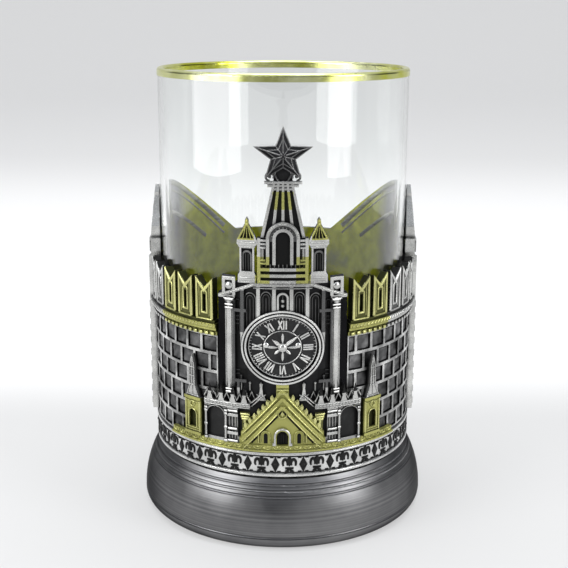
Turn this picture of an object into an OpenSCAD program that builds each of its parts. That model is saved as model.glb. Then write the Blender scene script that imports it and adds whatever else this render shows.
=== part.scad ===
// Tea glass holder with a pierced, built-up sleeve in the form of a walled fortress with a clock tower.
// The glass stands in the holder and lifts out. Millimetres, +Z up.
// The origin is on the axis of the glass, on the table. The clock tower faces -Y and the handle is at +Y.

/* [Glass] */
// Outer diameter of the tea glass
glass_d = 68; // [62:0.5:74]
// Height of the tea glass
glass_h = 103.5; // [98:0.5:116]
// Thickness of the glass wall
glass_wall = 1.3; // [1:0.1:2]
// Thickness of the glass bottom
glass_bottom = 4; // [3:0.5:8]
// Height of the gilt band on the lip
gilt_h = 1.9; // [1.5:0.1:4]

/* [Sleeve] */
// Radial room between the glass and the sleeve
glass_room = 0.4; // [0.3:0.05:0.6]
// Thickness of the plain sleeve under the relief
sleeve_wall = 1; // [0.8:0.1:1.4]
// Thickness of the first layer of relief, with the brickwork and the tower front
layer_t = 0.65; // [0.5:0.05:0.8]
// Height of one course of bricks
course_h = 5; // [4.5:0.1:5.5]
// Height of the ribbon round the bottom of the sleeve
ribbon_h = 6.6; // [5:0.2:8]
// Height of the moulding under the battlements
string_h = 3.3; // [3:0.1:4.5]
// Height of a merlon above that moulding
merlon_h = 11.8; // [9:0.2:13]
// Width of a merlon
merlon_w = 5.4; // [4.6:0.1:5.7]

/* [Clock tower] */
// Half the width of the tower front
tower_half_w = 16.4; // [15.6:0.1:17.5]
// Half the width of the clock, measured over its bezel
clock_half_w = 10.6; // [9.5:0.1:11]
// Half the height of the clock, measured over its bezel
clock_half_h = 9.8; // [9:0.1:10.4]
// Height of the belfry stage
belfry_h = 11.5; // [10.5:0.1:13]
// Height of the tent roof, up to the star
spire_h = 15; // [13:0.2:18]
// Radius of the star to its points
star_r = 7; // [6:0.1:8]

/* [Side towers] */
// Half the width of a side tower
side_half_w = 5.2; // [4.6:0.1:5.8]
// Height of a side tower above the moulding, with its roof
side_h = 31; // [29:0.5:35]

/* [Foot] */
// How far the foot spreads beyond the sleeve, all round
foot_spread = 4.7; // [3.4:0.1:7]
// Height of the foot
foot_h = 18.5; // [16:0.5:22]
// Thickness of the spun metal of the foot
foot_wall = 1.2; // [1:0.1:1.6]

/* [Handle] */
// Width of the handle bow
handle_w = 7.6; // [6:0.2:10]
// Thickness of the handle bow
handle_t = 4; // [3:0.2:5]
// Distance between the two ends of the handle, centre to centre
handle_h = 36; // [32:0.5:37]
// Distance of the middle of the bow's curve from its plates
handle_lean = 5; // [3:0.2:7]

/* [Hidden] */
$fn = 64;

// How far a cutting shape runs past what it cuts
overrun = 1;
// Solder gap between two layers of relief
solder = 0.05;
// Depth by which a raised feature is rooted in its own plate
root = 0.3;

// Glass
glass_r = glass_d / 2;
lip_r = glass_wall / 2;
glass_corner = 3;
glass_inner_corner = 5;
gilt_t = 0.15;
gilt_gap = 0.02;
seat_gap = 0.05;

// Radii of the layers, from the inside outwards
shell_in = glass_r + glass_room;
shell_out = shell_in + sleeve_wall;
layer1_in = shell_out + solder;
layer1_out = layer1_in + layer_t;
layer2_in = layer1_out + solder;
layer2_t = 0.75;
layer2_out = layer2_in + layer2_t;
bold_t = 0.5;
bold_out = layer2_out + bold_t;

// Levels, from the table upwards
floor_t = 1;
floor_dish = 0.8;
floor_top = foot_h + floor_t;
ribbon_rise = 1;
ribbon_z = foot_h + ribbon_rise;
ribbon_border = 0.7;
ribbon_border_t = 0.3;
wall_gap = 0.7;
ledge_h = 1.8;
courses = 6;
wall_z = ribbon_z + ribbon_h + wall_gap;
wall_top = wall_z + courses * course_h;
shell_top = wall_top + string_h;
ground_z = wall_z + ledge_h;
battlement_top = shell_top + merlon_h;

// Angles round the sleeve, from the middle of the clock tower
function turn_at(half_w, r) = asin(half_w / r);
tower_turn = turn_at(tower_half_w + solder, layer1_in);
tower_high_turn = turn_at(tower_half_w + solder, shell_in);
side_turn = 90;
side_half_turn = turn_at(side_half_w + solder, layer1_in);
side_crown_share = 1.2;
side_high_half_turn = turn_at(side_half_w + solder, shell_in);
side_crown_half_turn = turn_at(side_half_w * side_crown_share + solder, shell_in);
strip_half_w = 6;
strip_half_turn = turn_at(strip_half_w + solder, layer1_in);
full_turn = 360;
half_turn = 180;

// Brickwork
mortar_w = 0.8;
front_bricks = 6.5;
rear_bricks = 8.5;

// Battlements
merlons = 5;
parapet_h = 0.7;
merlon_notch_share = 0.24;
merlon_horn = 0.3;
slit_w = 0.9;
slit_z_share = 0.25;
slit_h_share = 0.38;
merlon_first = 0.6;
merlon_last = 1.6;
battlement_t = 0.5;

// Tower front
tower_eaves_h = 41.5;
tower_slope_h = 3.5;
tower_top = wall_z + tower_eaves_h + tower_slope_h;
tower_top_half_w = 11.4;
roof_line_half_w = 7.6;
columns = [2.2, 6.2, 10.3];
column_w = 0.9;
low_columns = [5.5, 11.4];
low_column_w = 0.7;
low_column_h = 4;
pilaster_w = 2.1;
pilaster_foot_z = wall_z + 3.4 * course_h;
frame_in = 3.4;
frame_w = 0.8;
tower_cornice_h = 1.3;
post_in = 1;
post_w = 3.4;
post_h = 4.7;
dormer_half_w = 1.5;
dormer_h = 4.6;
dormer_line = 0.5;

// Clock
clock_rise = 28.3;
clock_z = wall_z + clock_rise;
bezel_w = 1.3;
bezel_line = 0.45;
clock_clearance = 0.1;
dial_t = 0.35;
hour_marks = 12;
mark_w = 0.75;
mark_l = 1.9;
mark_t = 0.3;
mark_in = 0.5;
hand_t = 0.3;
hand_w = 0.9;
hour_hand_share = 0.42;
minute_hand_share = 0.66;
hub_r = 1.1;
hour_hand_turn = 52;
minute_hand_turn = -52;

// Belfry and pinnacles
belfry_half_w = 6.4;
belfry_top = tower_top + belfry_h;
belfry_sill_share = 0.42;
belfry_line = 0.8;
belfry_rails = 3;
gable_r = 4.2;
gable_gap = 0.1;
gable_t = 0.5;
pinnacle_half_w = 2.3;
pinnacle_line = 0.45;
pinnacle_x = belfry_half_w + 1.1 * pinnacle_half_w + solder;
pinnacle_h = 16.5;

// Spire and star
spire_half_w = 5.6;
spire_tip_half_w = 2.2;
spire_t = 0.9;
spire_ribs = 5;
rib_w = 0.8;
spire_tip_h = 3;
star_core_share = 0.42;
star_edge_t = 0.7;
star_peak_t = 2;
star_points = 5;
star_back = shell_in + spire_t + solder;
star_z = belfry_top + spire_h + 0.78 * star_r;

// Gate porch, parapets and turrets
ledge_half_turn = 53;
ledge_t = 1.1;
ledge_line = 0.5;
porch_half_w = 10.8;
porch_wall_h = 3.2;
porch_ridge_h = 13.4;
porch_post_half_w = 1.6;
porch_post_h = clock_z - clock_half_h - solder - ground_z - porch_ridge_h;
door_half_w = 1.5;
door_h = 4;
door_line = 0.8;
pier_x = 11.6;
pier_w = 2.8;
pier_h = 10;
chevron_w = 0.8;
chevron_pitch = 2.2;
chevrons = 2;
arcade_x = pier_x + pier_w + solder;
arcade_h = 11.4;
arcade_arch_half_w = 2.3;
arcade_arch_h = 9.4;
parapet_x = 8.4;
parapet_strip_h = 1.4;
spikelets = 4;
spikelet_h = 4.6;
spikelet_w = 1.7;
turret_turn = 39.5;
turret_half_w = 2.9;
turret_wall_h = 10.6;
turret_h = 22.2;
turret_near_x = layer2_in * sin(turret_turn - turn_at(turret_half_w, layer2_in));
arcade_w = turret_near_x - arcade_x - 4 * solder;

// Side towers and the rear of the sleeve
side_tower_t = 1.55;
side_z = wall_z;
side_body_share = 0.38;
side_crown_h_share = 0.16;
rear_low = 12.2;
rear_rise = 19;
rear_first_turn = side_turn + side_crown_half_turn;
rear_last_turn = 151;
rear_power = 1.6;
rear_steps = 14;
strip_over = 10.6;

// Foot
foot_edge_r = 3;
foot_lip = 0.2;
foot_top_r = shell_out + foot_lip;
foot_r = foot_top_r + foot_spread;
foot_flange_w = 5.4;
foot_tread_w = 2;
foot_rise = foot_h - foot_edge_r;
foot_run = foot_r - foot_top_r;
foot_dome_r = (foot_rise * foot_rise + foot_run * foot_run) / (2 * foot_run);
foot_dome_x = foot_r - foot_dome_r;
groove_r = 0.4;
groove_heights = [3.6, 14.2, 15.6, 17];

// Handle
plate_t = 1.4;
plate_out = layer1_out + solder + plate_t;
plate_half_w = 5;
plate_half_h = 4.6;
plate_corner = 2;
handle_start = plate_out + solder;
handle_rise = 21;
handle_mid_z = wall_z + handle_rise;
bow_r = norm([handle_h / 2, handle_lean]);
bow_end_turn = 90 + atan2(handle_lean, handle_h / 2);
bow_over_turn = 4;
thumb_half_w = 5.6;
thumb_neck_half_w = 3.6;
thumb_reach = 20;
thumb_t = 1.6;
thumb_drop = 1;
thumb_dip = 0.6;

// General shapes

function mirrored(half) = concat(half, [for (i = [len(half) - 1 : -1 : 0]) [-half[i].x, half[i].y]]);
function sized(shares, w, h) = [for (p = shares) [p.x * w, p.y * h]];

module ring(r_in, r_out, z0, z1) {
    rotate_extrude() translate([r_in, z0]) square([r_out - r_in, z1 - z0]);
}

// A profile swept round the axis from one angle to another
module band(from, to) {
    rotate([0, 0, from - side_turn]) rotate_extrude(angle = to - from) children();
}

// A flat outline pushed outwards from the axis at an angle round the sleeve
module radial(turn, reach) {
    rotate([0, 0, turn]) rotate([90, 0, 0]) linear_extrude(reach + overrun) children();
}

// The same outline, kept only between two radii, so that its faces follow the sleeve
module tile(turn, r_in, r_out, z0, z1) {
    intersection() {
        ring(r_in, r_out, z0, z1);
        radial(turn, r_out) children();
    }
}

module bar(x0, x1, z0, z1) {
    translate([x0, z0]) square([x1 - x0, z1 - z0]);
}

// Both halves of a mirror image, from its right half
module pair() {
    children();
    mirror([1, 0]) children();
}

module arched(half_w, z0, z1) {
    bar(-half_w, half_w, z0, z1 - half_w);
    translate([0, z1 - half_w]) circle(half_w);
}

module stroke(a, b, w) {
    run = b - a;
    translate(a) rotate(atan2(run.y, run.x)) translate([0, -w / 2]) square([norm(run), w]);
}

module ellipse(half_w, half_h) {
    scale([half_w / half_h, 1]) circle(half_h);
}

// Glass

module wall_section(outer, corner, lip) {
    translate([0, corner]) square([outer, glass_h - corner - lip]);
    square([outer - corner, corner + lip_r]);
    translate([outer - corner, corner]) circle(corner);
}

module tea_glass() {
    color([0.86, 0.92, 0.92, 0.35]) translate([0, 0, floor_top + seat_gap]) rotate_extrude() {
        difference() {
            wall_section(glass_r, glass_corner, lip_r);
            translate([0, glass_bottom]) wall_section(glass_r - glass_wall, glass_inner_corner, 0);
        }
        translate([glass_r - lip_r, glass_h - lip_r]) circle(lip_r);
    }
}

module lip_section(grow) {
    translate([glass_r - glass_wall - grow, glass_h - gilt_h])
        square([glass_wall + 2 * grow, gilt_h - lip_r]);
    translate([glass_r - lip_r, glass_h - lip_r]) circle(lip_r + grow);
}

module gilt_rim() {
    color([0.83, 0.72, 0.28]) translate([0, 0, floor_top + seat_gap]) rotate_extrude() difference() {
        lip_section(gilt_gap + gilt_t);
        lip_section(gilt_gap);
    }
}

// Foot and floor

module foot_section(skin) {
    intersection() {
        translate([foot_dome_x, foot_edge_r]) circle(foot_dome_r - skin, $fn = 192);
        translate([0, foot_edge_r]) square([foot_r, foot_h - skin - foot_edge_r]);
    }
    intersection() {
        union() {
            translate([foot_r - foot_edge_r, foot_edge_r]) circle(foot_edge_r - skin);
            translate([0, skin]) square([foot_r - foot_edge_r, foot_edge_r]);
        }
        square([foot_r, foot_edge_r]);
    }
}

module foot_shell() {
    color([0.5, 0.51, 0.52]) rotate_extrude() difference() {
        foot_section(0);
        foot_section(foot_wall);
        translate([0, -overrun]) square([foot_r - foot_edge_r - foot_tread_w, overrun + foot_edge_r]);
        square([foot_top_r - foot_flange_w, foot_h + overrun]);
        for (z = groove_heights) {
            rise = z - foot_edge_r;
            translate([foot_dome_x + sqrt(foot_dome_r * foot_dome_r - rise * rise), z]) circle(groove_r);
        }
    }
}

module floor_plate() {
    dish_r = foot_top_r - foot_flange_w - glass_room;
    color([0.62, 0.6, 0.5]) rotate_extrude() {
        difference() {
            translate([0, foot_h]) square([shell_in - solder, floor_t]);
            translate([0, foot_h - floor_dish + floor_t]) square([dish_r - floor_t, floor_t]);
        }
        translate([0, foot_h - floor_dish]) square([dish_r, floor_t]);
    }
}

// Sleeve

module sleeve_shell() {
    color([0.6, 0.58, 0.42]) ring(shell_in, shell_out, foot_h, shell_top);
}

module ribbon_band() {
    color([0.82, 0.82, 0.8]) band(strip_half_turn - half_turn, half_turn - strip_half_turn) {
        translate([layer1_in, ribbon_z]) square([layer_t, ribbon_h]);
        for (z = [ribbon_z, ribbon_z + ribbon_h - ribbon_border])
            translate([layer1_in, z]) square([layer_t + ribbon_border_t, ribbon_border]);
    }
}

// One field of bricks between two angles. Each course is laid half a brick out from the one below.
module brickwork(from, to, bricks) {
    pitch = (to - from) / bricks;
    mortar_turn = turn_at(mortar_w, layer1_out);
    window_h = course_h - mortar_w;
    color([0.34, 0.34, 0.33]) difference() {
        band(from, to) translate([layer1_in, wall_z]) square([layer_t, courses * course_h]);
        for (row = [0 : courses - 1], i = [0 : floor(bricks)]) {
            odd = row % 2;
            left = from + (odd == 1 ? max(i - 0.5, 0) : i) * pitch;
            right = from + (odd == 1 ? i + 0.5 : min(i + 1, bricks)) * pitch;
            width = 2 * layer1_out * sin((right - left - mortar_turn) / 2);
            rotate([0, 0, (left + right) / 2])
                translate([-width / 2, -layer1_out - overrun, wall_z + row * course_h + mortar_w / 2])
                    cube([width, overrun + 2 * layer_t, window_h]);
        }
    }
}

module string_profile() {
    translate([layer1_in, wall_top + solder]) polygon(sized(
        [[0, 0], [0.45, 0], [0.45, 0.28], [0.75, 0.45], [0.75, 0.62], [1, 0.7], [1, 1], [0, 1]],
        bold_out - layer1_in, string_h - solder));
}

module string_course() {
    color([0.72, 0.68, 0.4]) for (side = [-1, 1]) {
        ends = [[tower_turn, side_turn - side_half_turn],
                [side_turn + side_half_turn, half_turn - strip_half_turn]];
        for (e = ends)
            band(side > 0 ? e[0] : -e[1], side > 0 ? e[1] : -e[0]) string_profile();
    }
}

module merlon_notch() {
    depth = merlon_h * merlon_notch_share;
    half_w = merlon_w / 2 - merlon_horn;
    translate([0, battlement_top - depth])
        polygon([[0, 0], [2 * half_w, 2 * depth], [-2 * half_w, 2 * depth]]);
}

module battlement(side) {
    room = side_turn - side_high_half_turn - tower_high_turn;
    half = turn_at(merlon_w / 2, layer1_out);
    pitch = (room - 2 * half - merlon_first - merlon_last) / (merlons - 1);
    first = tower_high_turn + half + merlon_first;
    out = layer1_out + battlement_t;
    gap_half_w = out * sin(pitch / 2) - merlon_w / 2;
    from = side > 0 ? tower_high_turn : side_high_half_turn - side_turn;
    color([0.75, 0.7, 0.42]) difference() {
        band(from, from + room) translate([shell_in, shell_top]) square([out - shell_in, merlon_h]);
        for (i = [0 : merlons]) radial(side * (first + (i - 0.5) * pitch), out)
            bar(-gap_half_w, gap_half_w, shell_top + parapet_h, battlement_top + overrun);
        for (i = [0 : merlons - 1]) radial(side * (first + i * pitch), out) {
            merlon_notch();
            bar(-slit_w / 2, slit_w / 2, shell_top + merlon_h * slit_z_share,
                shell_top + merlon_h * (slit_z_share + slit_h_share));
        }
    }
}

// Clock tower

module tower_outline() {
    eaves = wall_z + tower_eaves_h;
    polygon(mirrored([[tower_half_w, wall_z], [tower_half_w, eaves], [tower_top_half_w, tower_top]]));
    pair() bar(tower_half_w - post_in - post_w, tower_half_w - post_in, eaves - frame_w, eaves + post_h);
}

module tower_lines() {
    eaves = wall_z + tower_eaves_h;
    roof_line = tower_top - frame_w / 2;
    pair() {
        for (x = [tower_half_w - post_in - post_w, tower_half_w - post_in - frame_w])
            bar(x, x + frame_w, eaves, eaves + post_h);
        bar(tower_half_w - post_in - post_w, tower_half_w - post_in,
            eaves + post_h - frame_w, eaves + post_h);
        bar(tower_half_w - pilaster_w, tower_half_w, pilaster_foot_z, eaves - tower_cornice_h);
        bar(tower_half_w - frame_in - frame_w, tower_half_w - frame_in, pilaster_foot_z,
            eaves - tower_cornice_h);
        bar(tower_half_w - frame_in - frame_w, tower_half_w, eaves - tower_cornice_h, eaves);
        bar(0, roof_line_half_w, tower_top - frame_w, tower_top);
        for (x = columns)
            bar(x - column_w / 2, x + column_w / 2, clock_z, roof_line - max(x - roof_line_half_w, 0) / 2);
        for (x = low_columns) bar(x - low_column_w / 2, x + low_column_w / 2,
            clock_z - clock_half_h - low_column_h, clock_z - clock_half_h);
        bar(clock_half_w - bezel_w, tower_half_w, clock_z + clock_half_h - frame_w,
            clock_z + clock_half_h);
        bar(clock_half_w - bezel_w, tower_half_w, clock_z - clock_half_h,
            clock_z - clock_half_h + frame_w);
        stroke([tower_half_w, eaves - frame_w / 2], [roof_line_half_w, roof_line], frame_w);
    }
}

module dormer() {
    difference() {
        arched(dormer_half_w, clock_z + clock_half_h + solder, clock_z + clock_half_h + dormer_h);
        arched(dormer_half_w - dormer_line, clock_z + clock_half_h,
               clock_z + clock_half_h + dormer_h - dormer_line);
    }
}

module gate_tower() {
    color([0.36, 0.36, 0.35]) {
        tile(0, layer1_in, layer1_out, wall_z, shell_top) tower_outline();
        tile(0, shell_in, layer1_out, shell_top, tower_top + post_h) tower_outline();
        tile(0, layer1_out - root, layer2_out, wall_z, tower_top + post_h) difference() {
            intersection() {
                tower_lines();
                tower_outline();
            }
            translate([0, clock_z]) ellipse(clock_half_w + clock_clearance, clock_half_h + clock_clearance);
        }
        tile(0, layer1_out - root, layer2_out, wall_z, tower_top) dormer();
    }
}

module clock_dial() {
    half_w = clock_half_w - bezel_w - clock_clearance;
    half_h = clock_half_h - bezel_w - clock_clearance;
    dial_out = layer2_in + dial_t;
    color([0.16, 0.16, 0.17]) {
        tile(0, layer2_in, dial_out, wall_z, tower_top) translate([0, clock_z]) ellipse(half_w, half_h);
        tile(0, dial_out - dial_t / 2, dial_out + mark_t, wall_z, tower_top) translate([0, clock_z])
            scale([half_w / half_h, 1]) for (i = [0 : hour_marks - 1])
                rotate(i * full_turn / hour_marks)
                    translate([-mark_w / 2, half_h - mark_in - mark_l]) square([mark_w, mark_l]);
    }
}

module clock_bezel() {
    color([0.85, 0.85, 0.83]) {
        tile(0, layer2_in, layer2_out, wall_z, tower_top) translate([0, clock_z]) difference() {
            ellipse(clock_half_w, clock_half_h);
            ellipse(clock_half_w - bezel_w, clock_half_h - bezel_w);
        }
        for (grow = [0, bezel_line - bezel_w])
            tile(0, layer2_out - root, bold_out, wall_z, tower_top) translate([0, clock_z]) difference() {
                ellipse(clock_half_w + grow, clock_half_h + grow);
                ellipse(clock_half_w + grow - bezel_line, clock_half_h + grow - bezel_line);
            }
    }
}

module hand(turn, length) {
    rotate(turn) polygon(mirrored([[hand_w / 3, 0], [hand_w / 2, length / 2], [0, length]]));
}

module clock_hands() {
    reach = clock_half_h - bezel_w;
    hands_in = layer2_in + dial_t + solder;
    color([0.9, 0.9, 0.88]) tile(0, hands_in, hands_in + hand_t, wall_z, tower_top)
        translate([0, clock_z]) {
            circle(hub_r);
            hand(hour_hand_turn, reach * hour_hand_share);
            hand(minute_hand_turn, reach * minute_hand_share);
        }
}

// Belfry, pinnacles, spire and star

module arch_line(half_w, z0, z1, w) {
    difference() {
        arched(half_w, z0, z1);
        arched(half_w - w, z0 - overrun, z1 - w);
    }
}

module belfry() {
    sill = tower_top + belfry_h * belfry_sill_share;
    arch_top = belfry_top + gable_r - gable_gap;
    gable_in = shell_in + spire_t + layer_t + solder;
    color([0.4, 0.4, 0.38]) {
        tile(0, shell_in, layer1_out, tower_top, belfry_top)
            bar(-belfry_half_w, belfry_half_w, tower_top, belfry_top);
        tile(0, gable_in, gable_in + gable_t, belfry_top - belfry_line, arch_top)
            arched(gable_r, belfry_top - belfry_line, arch_top);
        tile(0, gable_in, layer2_out, sill, arch_top + overrun) {
            arch_line(gable_r, sill - overrun, arch_top, belfry_line);
            arch_line(gable_r - 2 * belfry_line, sill - overrun, arch_top - 2 * belfry_line, belfry_line);
        }
        tile(0, layer1_out - root, layer2_out, tower_top, belfry_top) {
            pair() bar(belfry_half_w - belfry_line, belfry_half_w, tower_top, belfry_top);
            for (i = [0 : belfry_rails - 1]) bar(-belfry_half_w, belfry_half_w,
                tower_top + i * belfry_line * 2, tower_top + i * belfry_line * 2 + belfry_line);
        }
    }
}

function pinnacle_half() = [for (p = sized(
    [[1, 0], [1, 0.12], [0.8, 0.16], [0.8, 0.56], [1.1, 0.6], [1.1, 0.66], [0.2, 0.9], [0.2, 0.95], [0, 1]],
    pinnacle_half_w, pinnacle_h)) [p.x, p.y + tower_top]];

module pinnacle_lines() {
    half = pinnacle_half();
    w = pinnacle_half_w;
    for (part = [[0, 0.18], [0.54, 0.69], [0.87, 1]])
        bar(-2 * w, 2 * w, tower_top + part.x * pinnacle_h, tower_top + part.y * pinnacle_h);
    pair() {
        bar(half[2].x - pinnacle_line, w, tower_top, tower_top + 0.6 * pinnacle_h);
        stroke(half[5], half[6], 2 * pinnacle_line);
    }
}

module pinnacle(side) {
    window_half_w = pinnacle_half_w * 0.36;
    window_top = tower_top + pinnacle_h * 0.5;
    tip = tower_top + pinnacle_h + overrun;
    color([0.6, 0.58, 0.4]) {
        tile(0, shell_in, layer1_out, tower_top, tip)
            translate([side * pinnacle_x, 0]) polygon(mirrored(pinnacle_half()));
        tile(0, layer1_out - root, layer2_out, tower_top, tip) translate([side * pinnacle_x, 0])
            intersection() {
                pinnacle_lines();
                polygon(mirrored(pinnacle_half()));
            }
        tile(0, layer1_out - root, layer2_in + root, tower_top, tip) translate([side * pinnacle_x, 0])
            arch_line(window_half_w + pinnacle_line, tower_top + pinnacle_h * 0.15, window_top,
                pinnacle_line);
    }
}

module spire() {
    foot = belfry_top;
    tip = foot + spire_h;
    narrow = (spire_half_w - spire_tip_half_w) / spire_h;
    color([0.42, 0.42, 0.4]) {
        tile(0, shell_in, shell_in + spire_t, foot, tip + spire_tip_h) polygon(mirrored([
            [spire_half_w, foot], [spire_tip_half_w, tip], [spire_tip_half_w / 2, tip + spire_tip_h]]));
        tile(0, shell_in + root, shell_in + spire_t + layer_t, foot, tip - rib_w) intersection() {
            for (i = [0 : spire_ribs - 1]) {
                share = 2 * i / (spire_ribs - 1) - 1;
                foot_x = share * (spire_half_w - rib_w / 2);
                tip_x = share * (spire_tip_half_w - rib_w / 3);
                polygon([[foot_x - rib_w / 2, foot], [foot_x + rib_w / 2, foot],
                         [tip_x + rib_w / 3, tip], [tip_x - rib_w / 3, tip]]);
            }
            polygon(mirrored([[spire_half_w, foot], [spire_half_w - narrow * spire_h, tip]]));
        }
    }
}

module star() {
    n = 2 * star_points;
    step = full_turn / n;
    outline = [for (i = [0 : n - 1]) let (r = i % 2 == 0 ? star_r : star_r * star_core_share)
        [r * sin(i * step) * clock_half_w / clock_half_h, r * cos(i * step)]];
    function place(p, y) = [p.x, -y, star_z + p.y];
    points = concat([for (p = outline) place(p, star_back)],
                    [for (p = outline) place(p, star_back + star_edge_t)],
                    [place([0, 0], star_back), place([0, 0], star_back + star_peak_t)]);
    faces = [for (i = [0 : n - 1]) let (j = (i + 1) % n)
        each [[2 * n, j, i], [2 * n + 1, n + i, n + j], [i, j, n + j], [i, n + j, n + i]]];
    color([0.2, 0.2, 0.2]) polyhedron(points, faces);
}

// Ledge, gate porch, parapets and turrets, on the second layer

module ground_ledge() {
    ledge_out = layer1_in + layer_t + ledge_t;
    color([0.78, 0.73, 0.42]) band(-ledge_half_turn, ledge_half_turn) {
        translate([layer2_in, wall_z]) square([ledge_out - layer2_in, ledge_h - solder]);
        translate([layer2_in, wall_z]) square([ledge_out + ledge_line - layer2_in, ledge_line]);
    }
}

module porch_outline() {
    ridge = ground_z + porch_ridge_h;
    polygon(mirrored([[porch_half_w, ground_z], [porch_half_w, ground_z + porch_wall_h],
        [porch_post_half_w, ridge]]));
    bar(-porch_post_half_w, porch_post_half_w, ridge - overrun, ridge + porch_post_h);
    pair() bar(pier_x, pier_x + pier_w, ground_z, ground_z + pier_h);
    pair() bar(porch_half_w - overrun, pier_x + overrun, ground_z, ground_z + porch_wall_h / 2);
}

module porch_lines() {
    ridge = ground_z + porch_ridge_h;
    top = ridge + porch_post_h;
    for (i = [0 : chevrons]) stroke([porch_half_w, ground_z + porch_wall_h - i * chevron_pitch],
        [0, ridge + porch_post_half_w - i * chevron_pitch], chevron_w);
    for (z = [pier_h, pier_h * 0.8, pier_h * 0.3])
        bar(pier_x, pier_x + pier_w, ground_z + z - chevron_w, ground_z + z);
    bar(0, porch_post_half_w, top - chevron_w, top);
    bar(0, door_half_w + door_line, ground_z, ground_z + door_line);
}

module gate_porch() {
    top = ground_z + porch_ridge_h + porch_post_h;
    color([0.8, 0.74, 0.42]) difference() {
        union() {
            tile(0, layer2_in, layer2_out, ground_z, top) porch_outline();
            tile(0, layer2_out - root, bold_out, ground_z, top) intersection() {
                union() {
                    pair() porch_lines();
                    arched(door_half_w + door_line, ground_z, ground_z + door_h + door_line);
                }
                porch_outline();
            }
        }
        radial(0, bold_out) arched(door_half_w, ground_z - overrun, ground_z + door_h);
    }
}

// An arch between the porch and the turret, with a cresting that runs on over the roof of the porch
module parapet(side) {
    low = ground_z + arcade_h - parapet_strip_h;
    strip_top = ground_z + arcade_h;
    far = arcade_x + arcade_w;
    pitch = (far - parapet_x) / spikelets;
    crest_out = bold_out + layer_t;
    color([0.7, 0.7, 0.68]) difference() {
        union() {
            tile(0, layer2_in, layer2_out + root, ground_z, strip_top) mirror([side > 0 ? 0 : 1, 0])
                bar(arcade_x, far, ground_z, strip_top);
            tile(0, bold_out + solder, crest_out, ground_z, strip_top + spikelet_h + overrun)
                mirror([side > 0 ? 0 : 1, 0]) {
                    bar(parapet_x, far, low, strip_top);
                    for (i = [0 : spikelets - 1])
                        translate([parapet_x + (i + 0.5) * pitch, strip_top - solder])
                            polygon(mirrored(sized([[1, 0], [0.45, 0.35], [0.6, 0.5], [0, 1]],
                                spikelet_w / 2, spikelet_h)));
                }
            tile(0, layer2_out, crest_out, low, strip_top) mirror([side > 0 ? 0 : 1, 0])
                bar(arcade_x + solder, far, low, strip_top);
        }
        difference() {
            radial(0, crest_out) translate([side * (arcade_x + arcade_w / 2), 0])
                arched(arcade_arch_half_w, ground_z + door_line, ground_z + arcade_arch_h);
            cylinder(r = layer2_in + root, h = strip_top);
        }
    }
}

module turret_outline() {
    translate([0, ground_z]) polygon(mirrored([[turret_half_w, 0], [turret_half_w, turret_wall_h],
        [turret_half_w * 0.8, turret_wall_h], [turret_half_w * 0.34, turret_wall_h * 1.32],
        [turret_half_w * 0.24, turret_h * 0.88], [0, turret_h]]));
}

module turret(side) {
    turn = side * turret_turn;
    color([0.78, 0.72, 0.4]) {
        difference() {
            tile(turn, layer2_in, bold_out, ground_z, shell_top) turret_outline();
            difference() {
                radial(turn, bold_out) arched(turret_half_w * 0.45, ground_z + turret_wall_h * 0.2,
                    ground_z + turret_wall_h * 0.66);
                cylinder(r = layer2_in + root, h = shell_top);
            }
        }
        for (z = [0, turret_wall_h - frame_w])
            tile(turn, bold_out - root, bold_out + root, ground_z, shell_top)
                bar(-turret_half_w, turret_half_w, ground_z + z, ground_z + z + frame_w);
    }
}

// Side towers and rear

module side_outline() {
    bar(-side_half_w, side_half_w, side_z, shell_top + side_h * side_body_share);
    translate([0, shell_top]) polygon(mirrored(sized(
        [[1, side_body_share], [side_crown_share, side_body_share + 0.04],
         [side_crown_share, side_body_share + side_crown_h_share],
         [0.85, side_body_share + side_crown_h_share], [0.85, side_body_share + 0.26], [0.16, 0.9],
         [0.22, 0.93], [0, 1]],
        side_half_w, side_h)));
}

// A cone that leans the roof inwards, hollow for the glass
module side_roof(out, z0, z1) {
    rotate_extrude() polygon([[shell_in, z0], [out, z0], [shell_out, z1], [shell_in, z1]]);
}

module side_tower(side) {
    out = layer1_in + side_tower_t;
    crown = shell_top + side_h * side_body_share;
    roof = crown + side_h * side_crown_h_share;
    color([0.45, 0.45, 0.43]) {
        difference() {
            union() {
                tile(side * side_turn, layer1_in, out, side_z, shell_top) side_outline();
                tile(side * side_turn, shell_in, out, shell_top, roof) side_outline();
                intersection() {
                    side_roof(out, roof, shell_top + side_h + overrun);
                    radial(side * side_turn, out) side_outline();
                }
            }
            difference() {
                radial(side * side_turn, out)
                    arched(side_half_w * 0.3, crown - side_h * 0.3, crown - side_h * 0.05);
                cylinder(r = layer1_out - root, h = shell_top + side_h);
            }
        }
        tile(side * side_turn, out - root, out + layer_t, side_z, shell_top + side_h) {
            pair() bar(side_half_w - frame_w, side_half_w, side_z, crown);
            bar(-side_half_w, side_half_w, shell_top - string_h, shell_top);
        }
    }
}

rear_turn = rear_last_turn - rear_first_turn;
function rear_top(turn) =
    shell_top + rear_low + rear_rise * (1 - pow((turn - rear_first_turn) / rear_turn, rear_power));

module rear_panel() {
    turns = [for (i = [0 : rear_steps]) rear_first_turn + i * rear_turn / rear_steps];
    edge = concat([for (t = turns) [-shell_out * cos(t), rear_top(t)]],
                  [[shell_out + overrun, shell_top + rear_low], [shell_out + overrun, shell_top],
                   [-shell_out * cos(rear_first_turn), shell_top]]);
    color([0.55, 0.54, 0.42]) intersection() {
        ring(shell_in, shell_out, shell_top, shell_top + rear_low + rear_rise);
        rotate([90, 0, 90]) translate([0, 0, -shell_out - overrun])
            linear_extrude(2 * (shell_out + overrun)) polygon(edge);
    }
}

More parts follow.
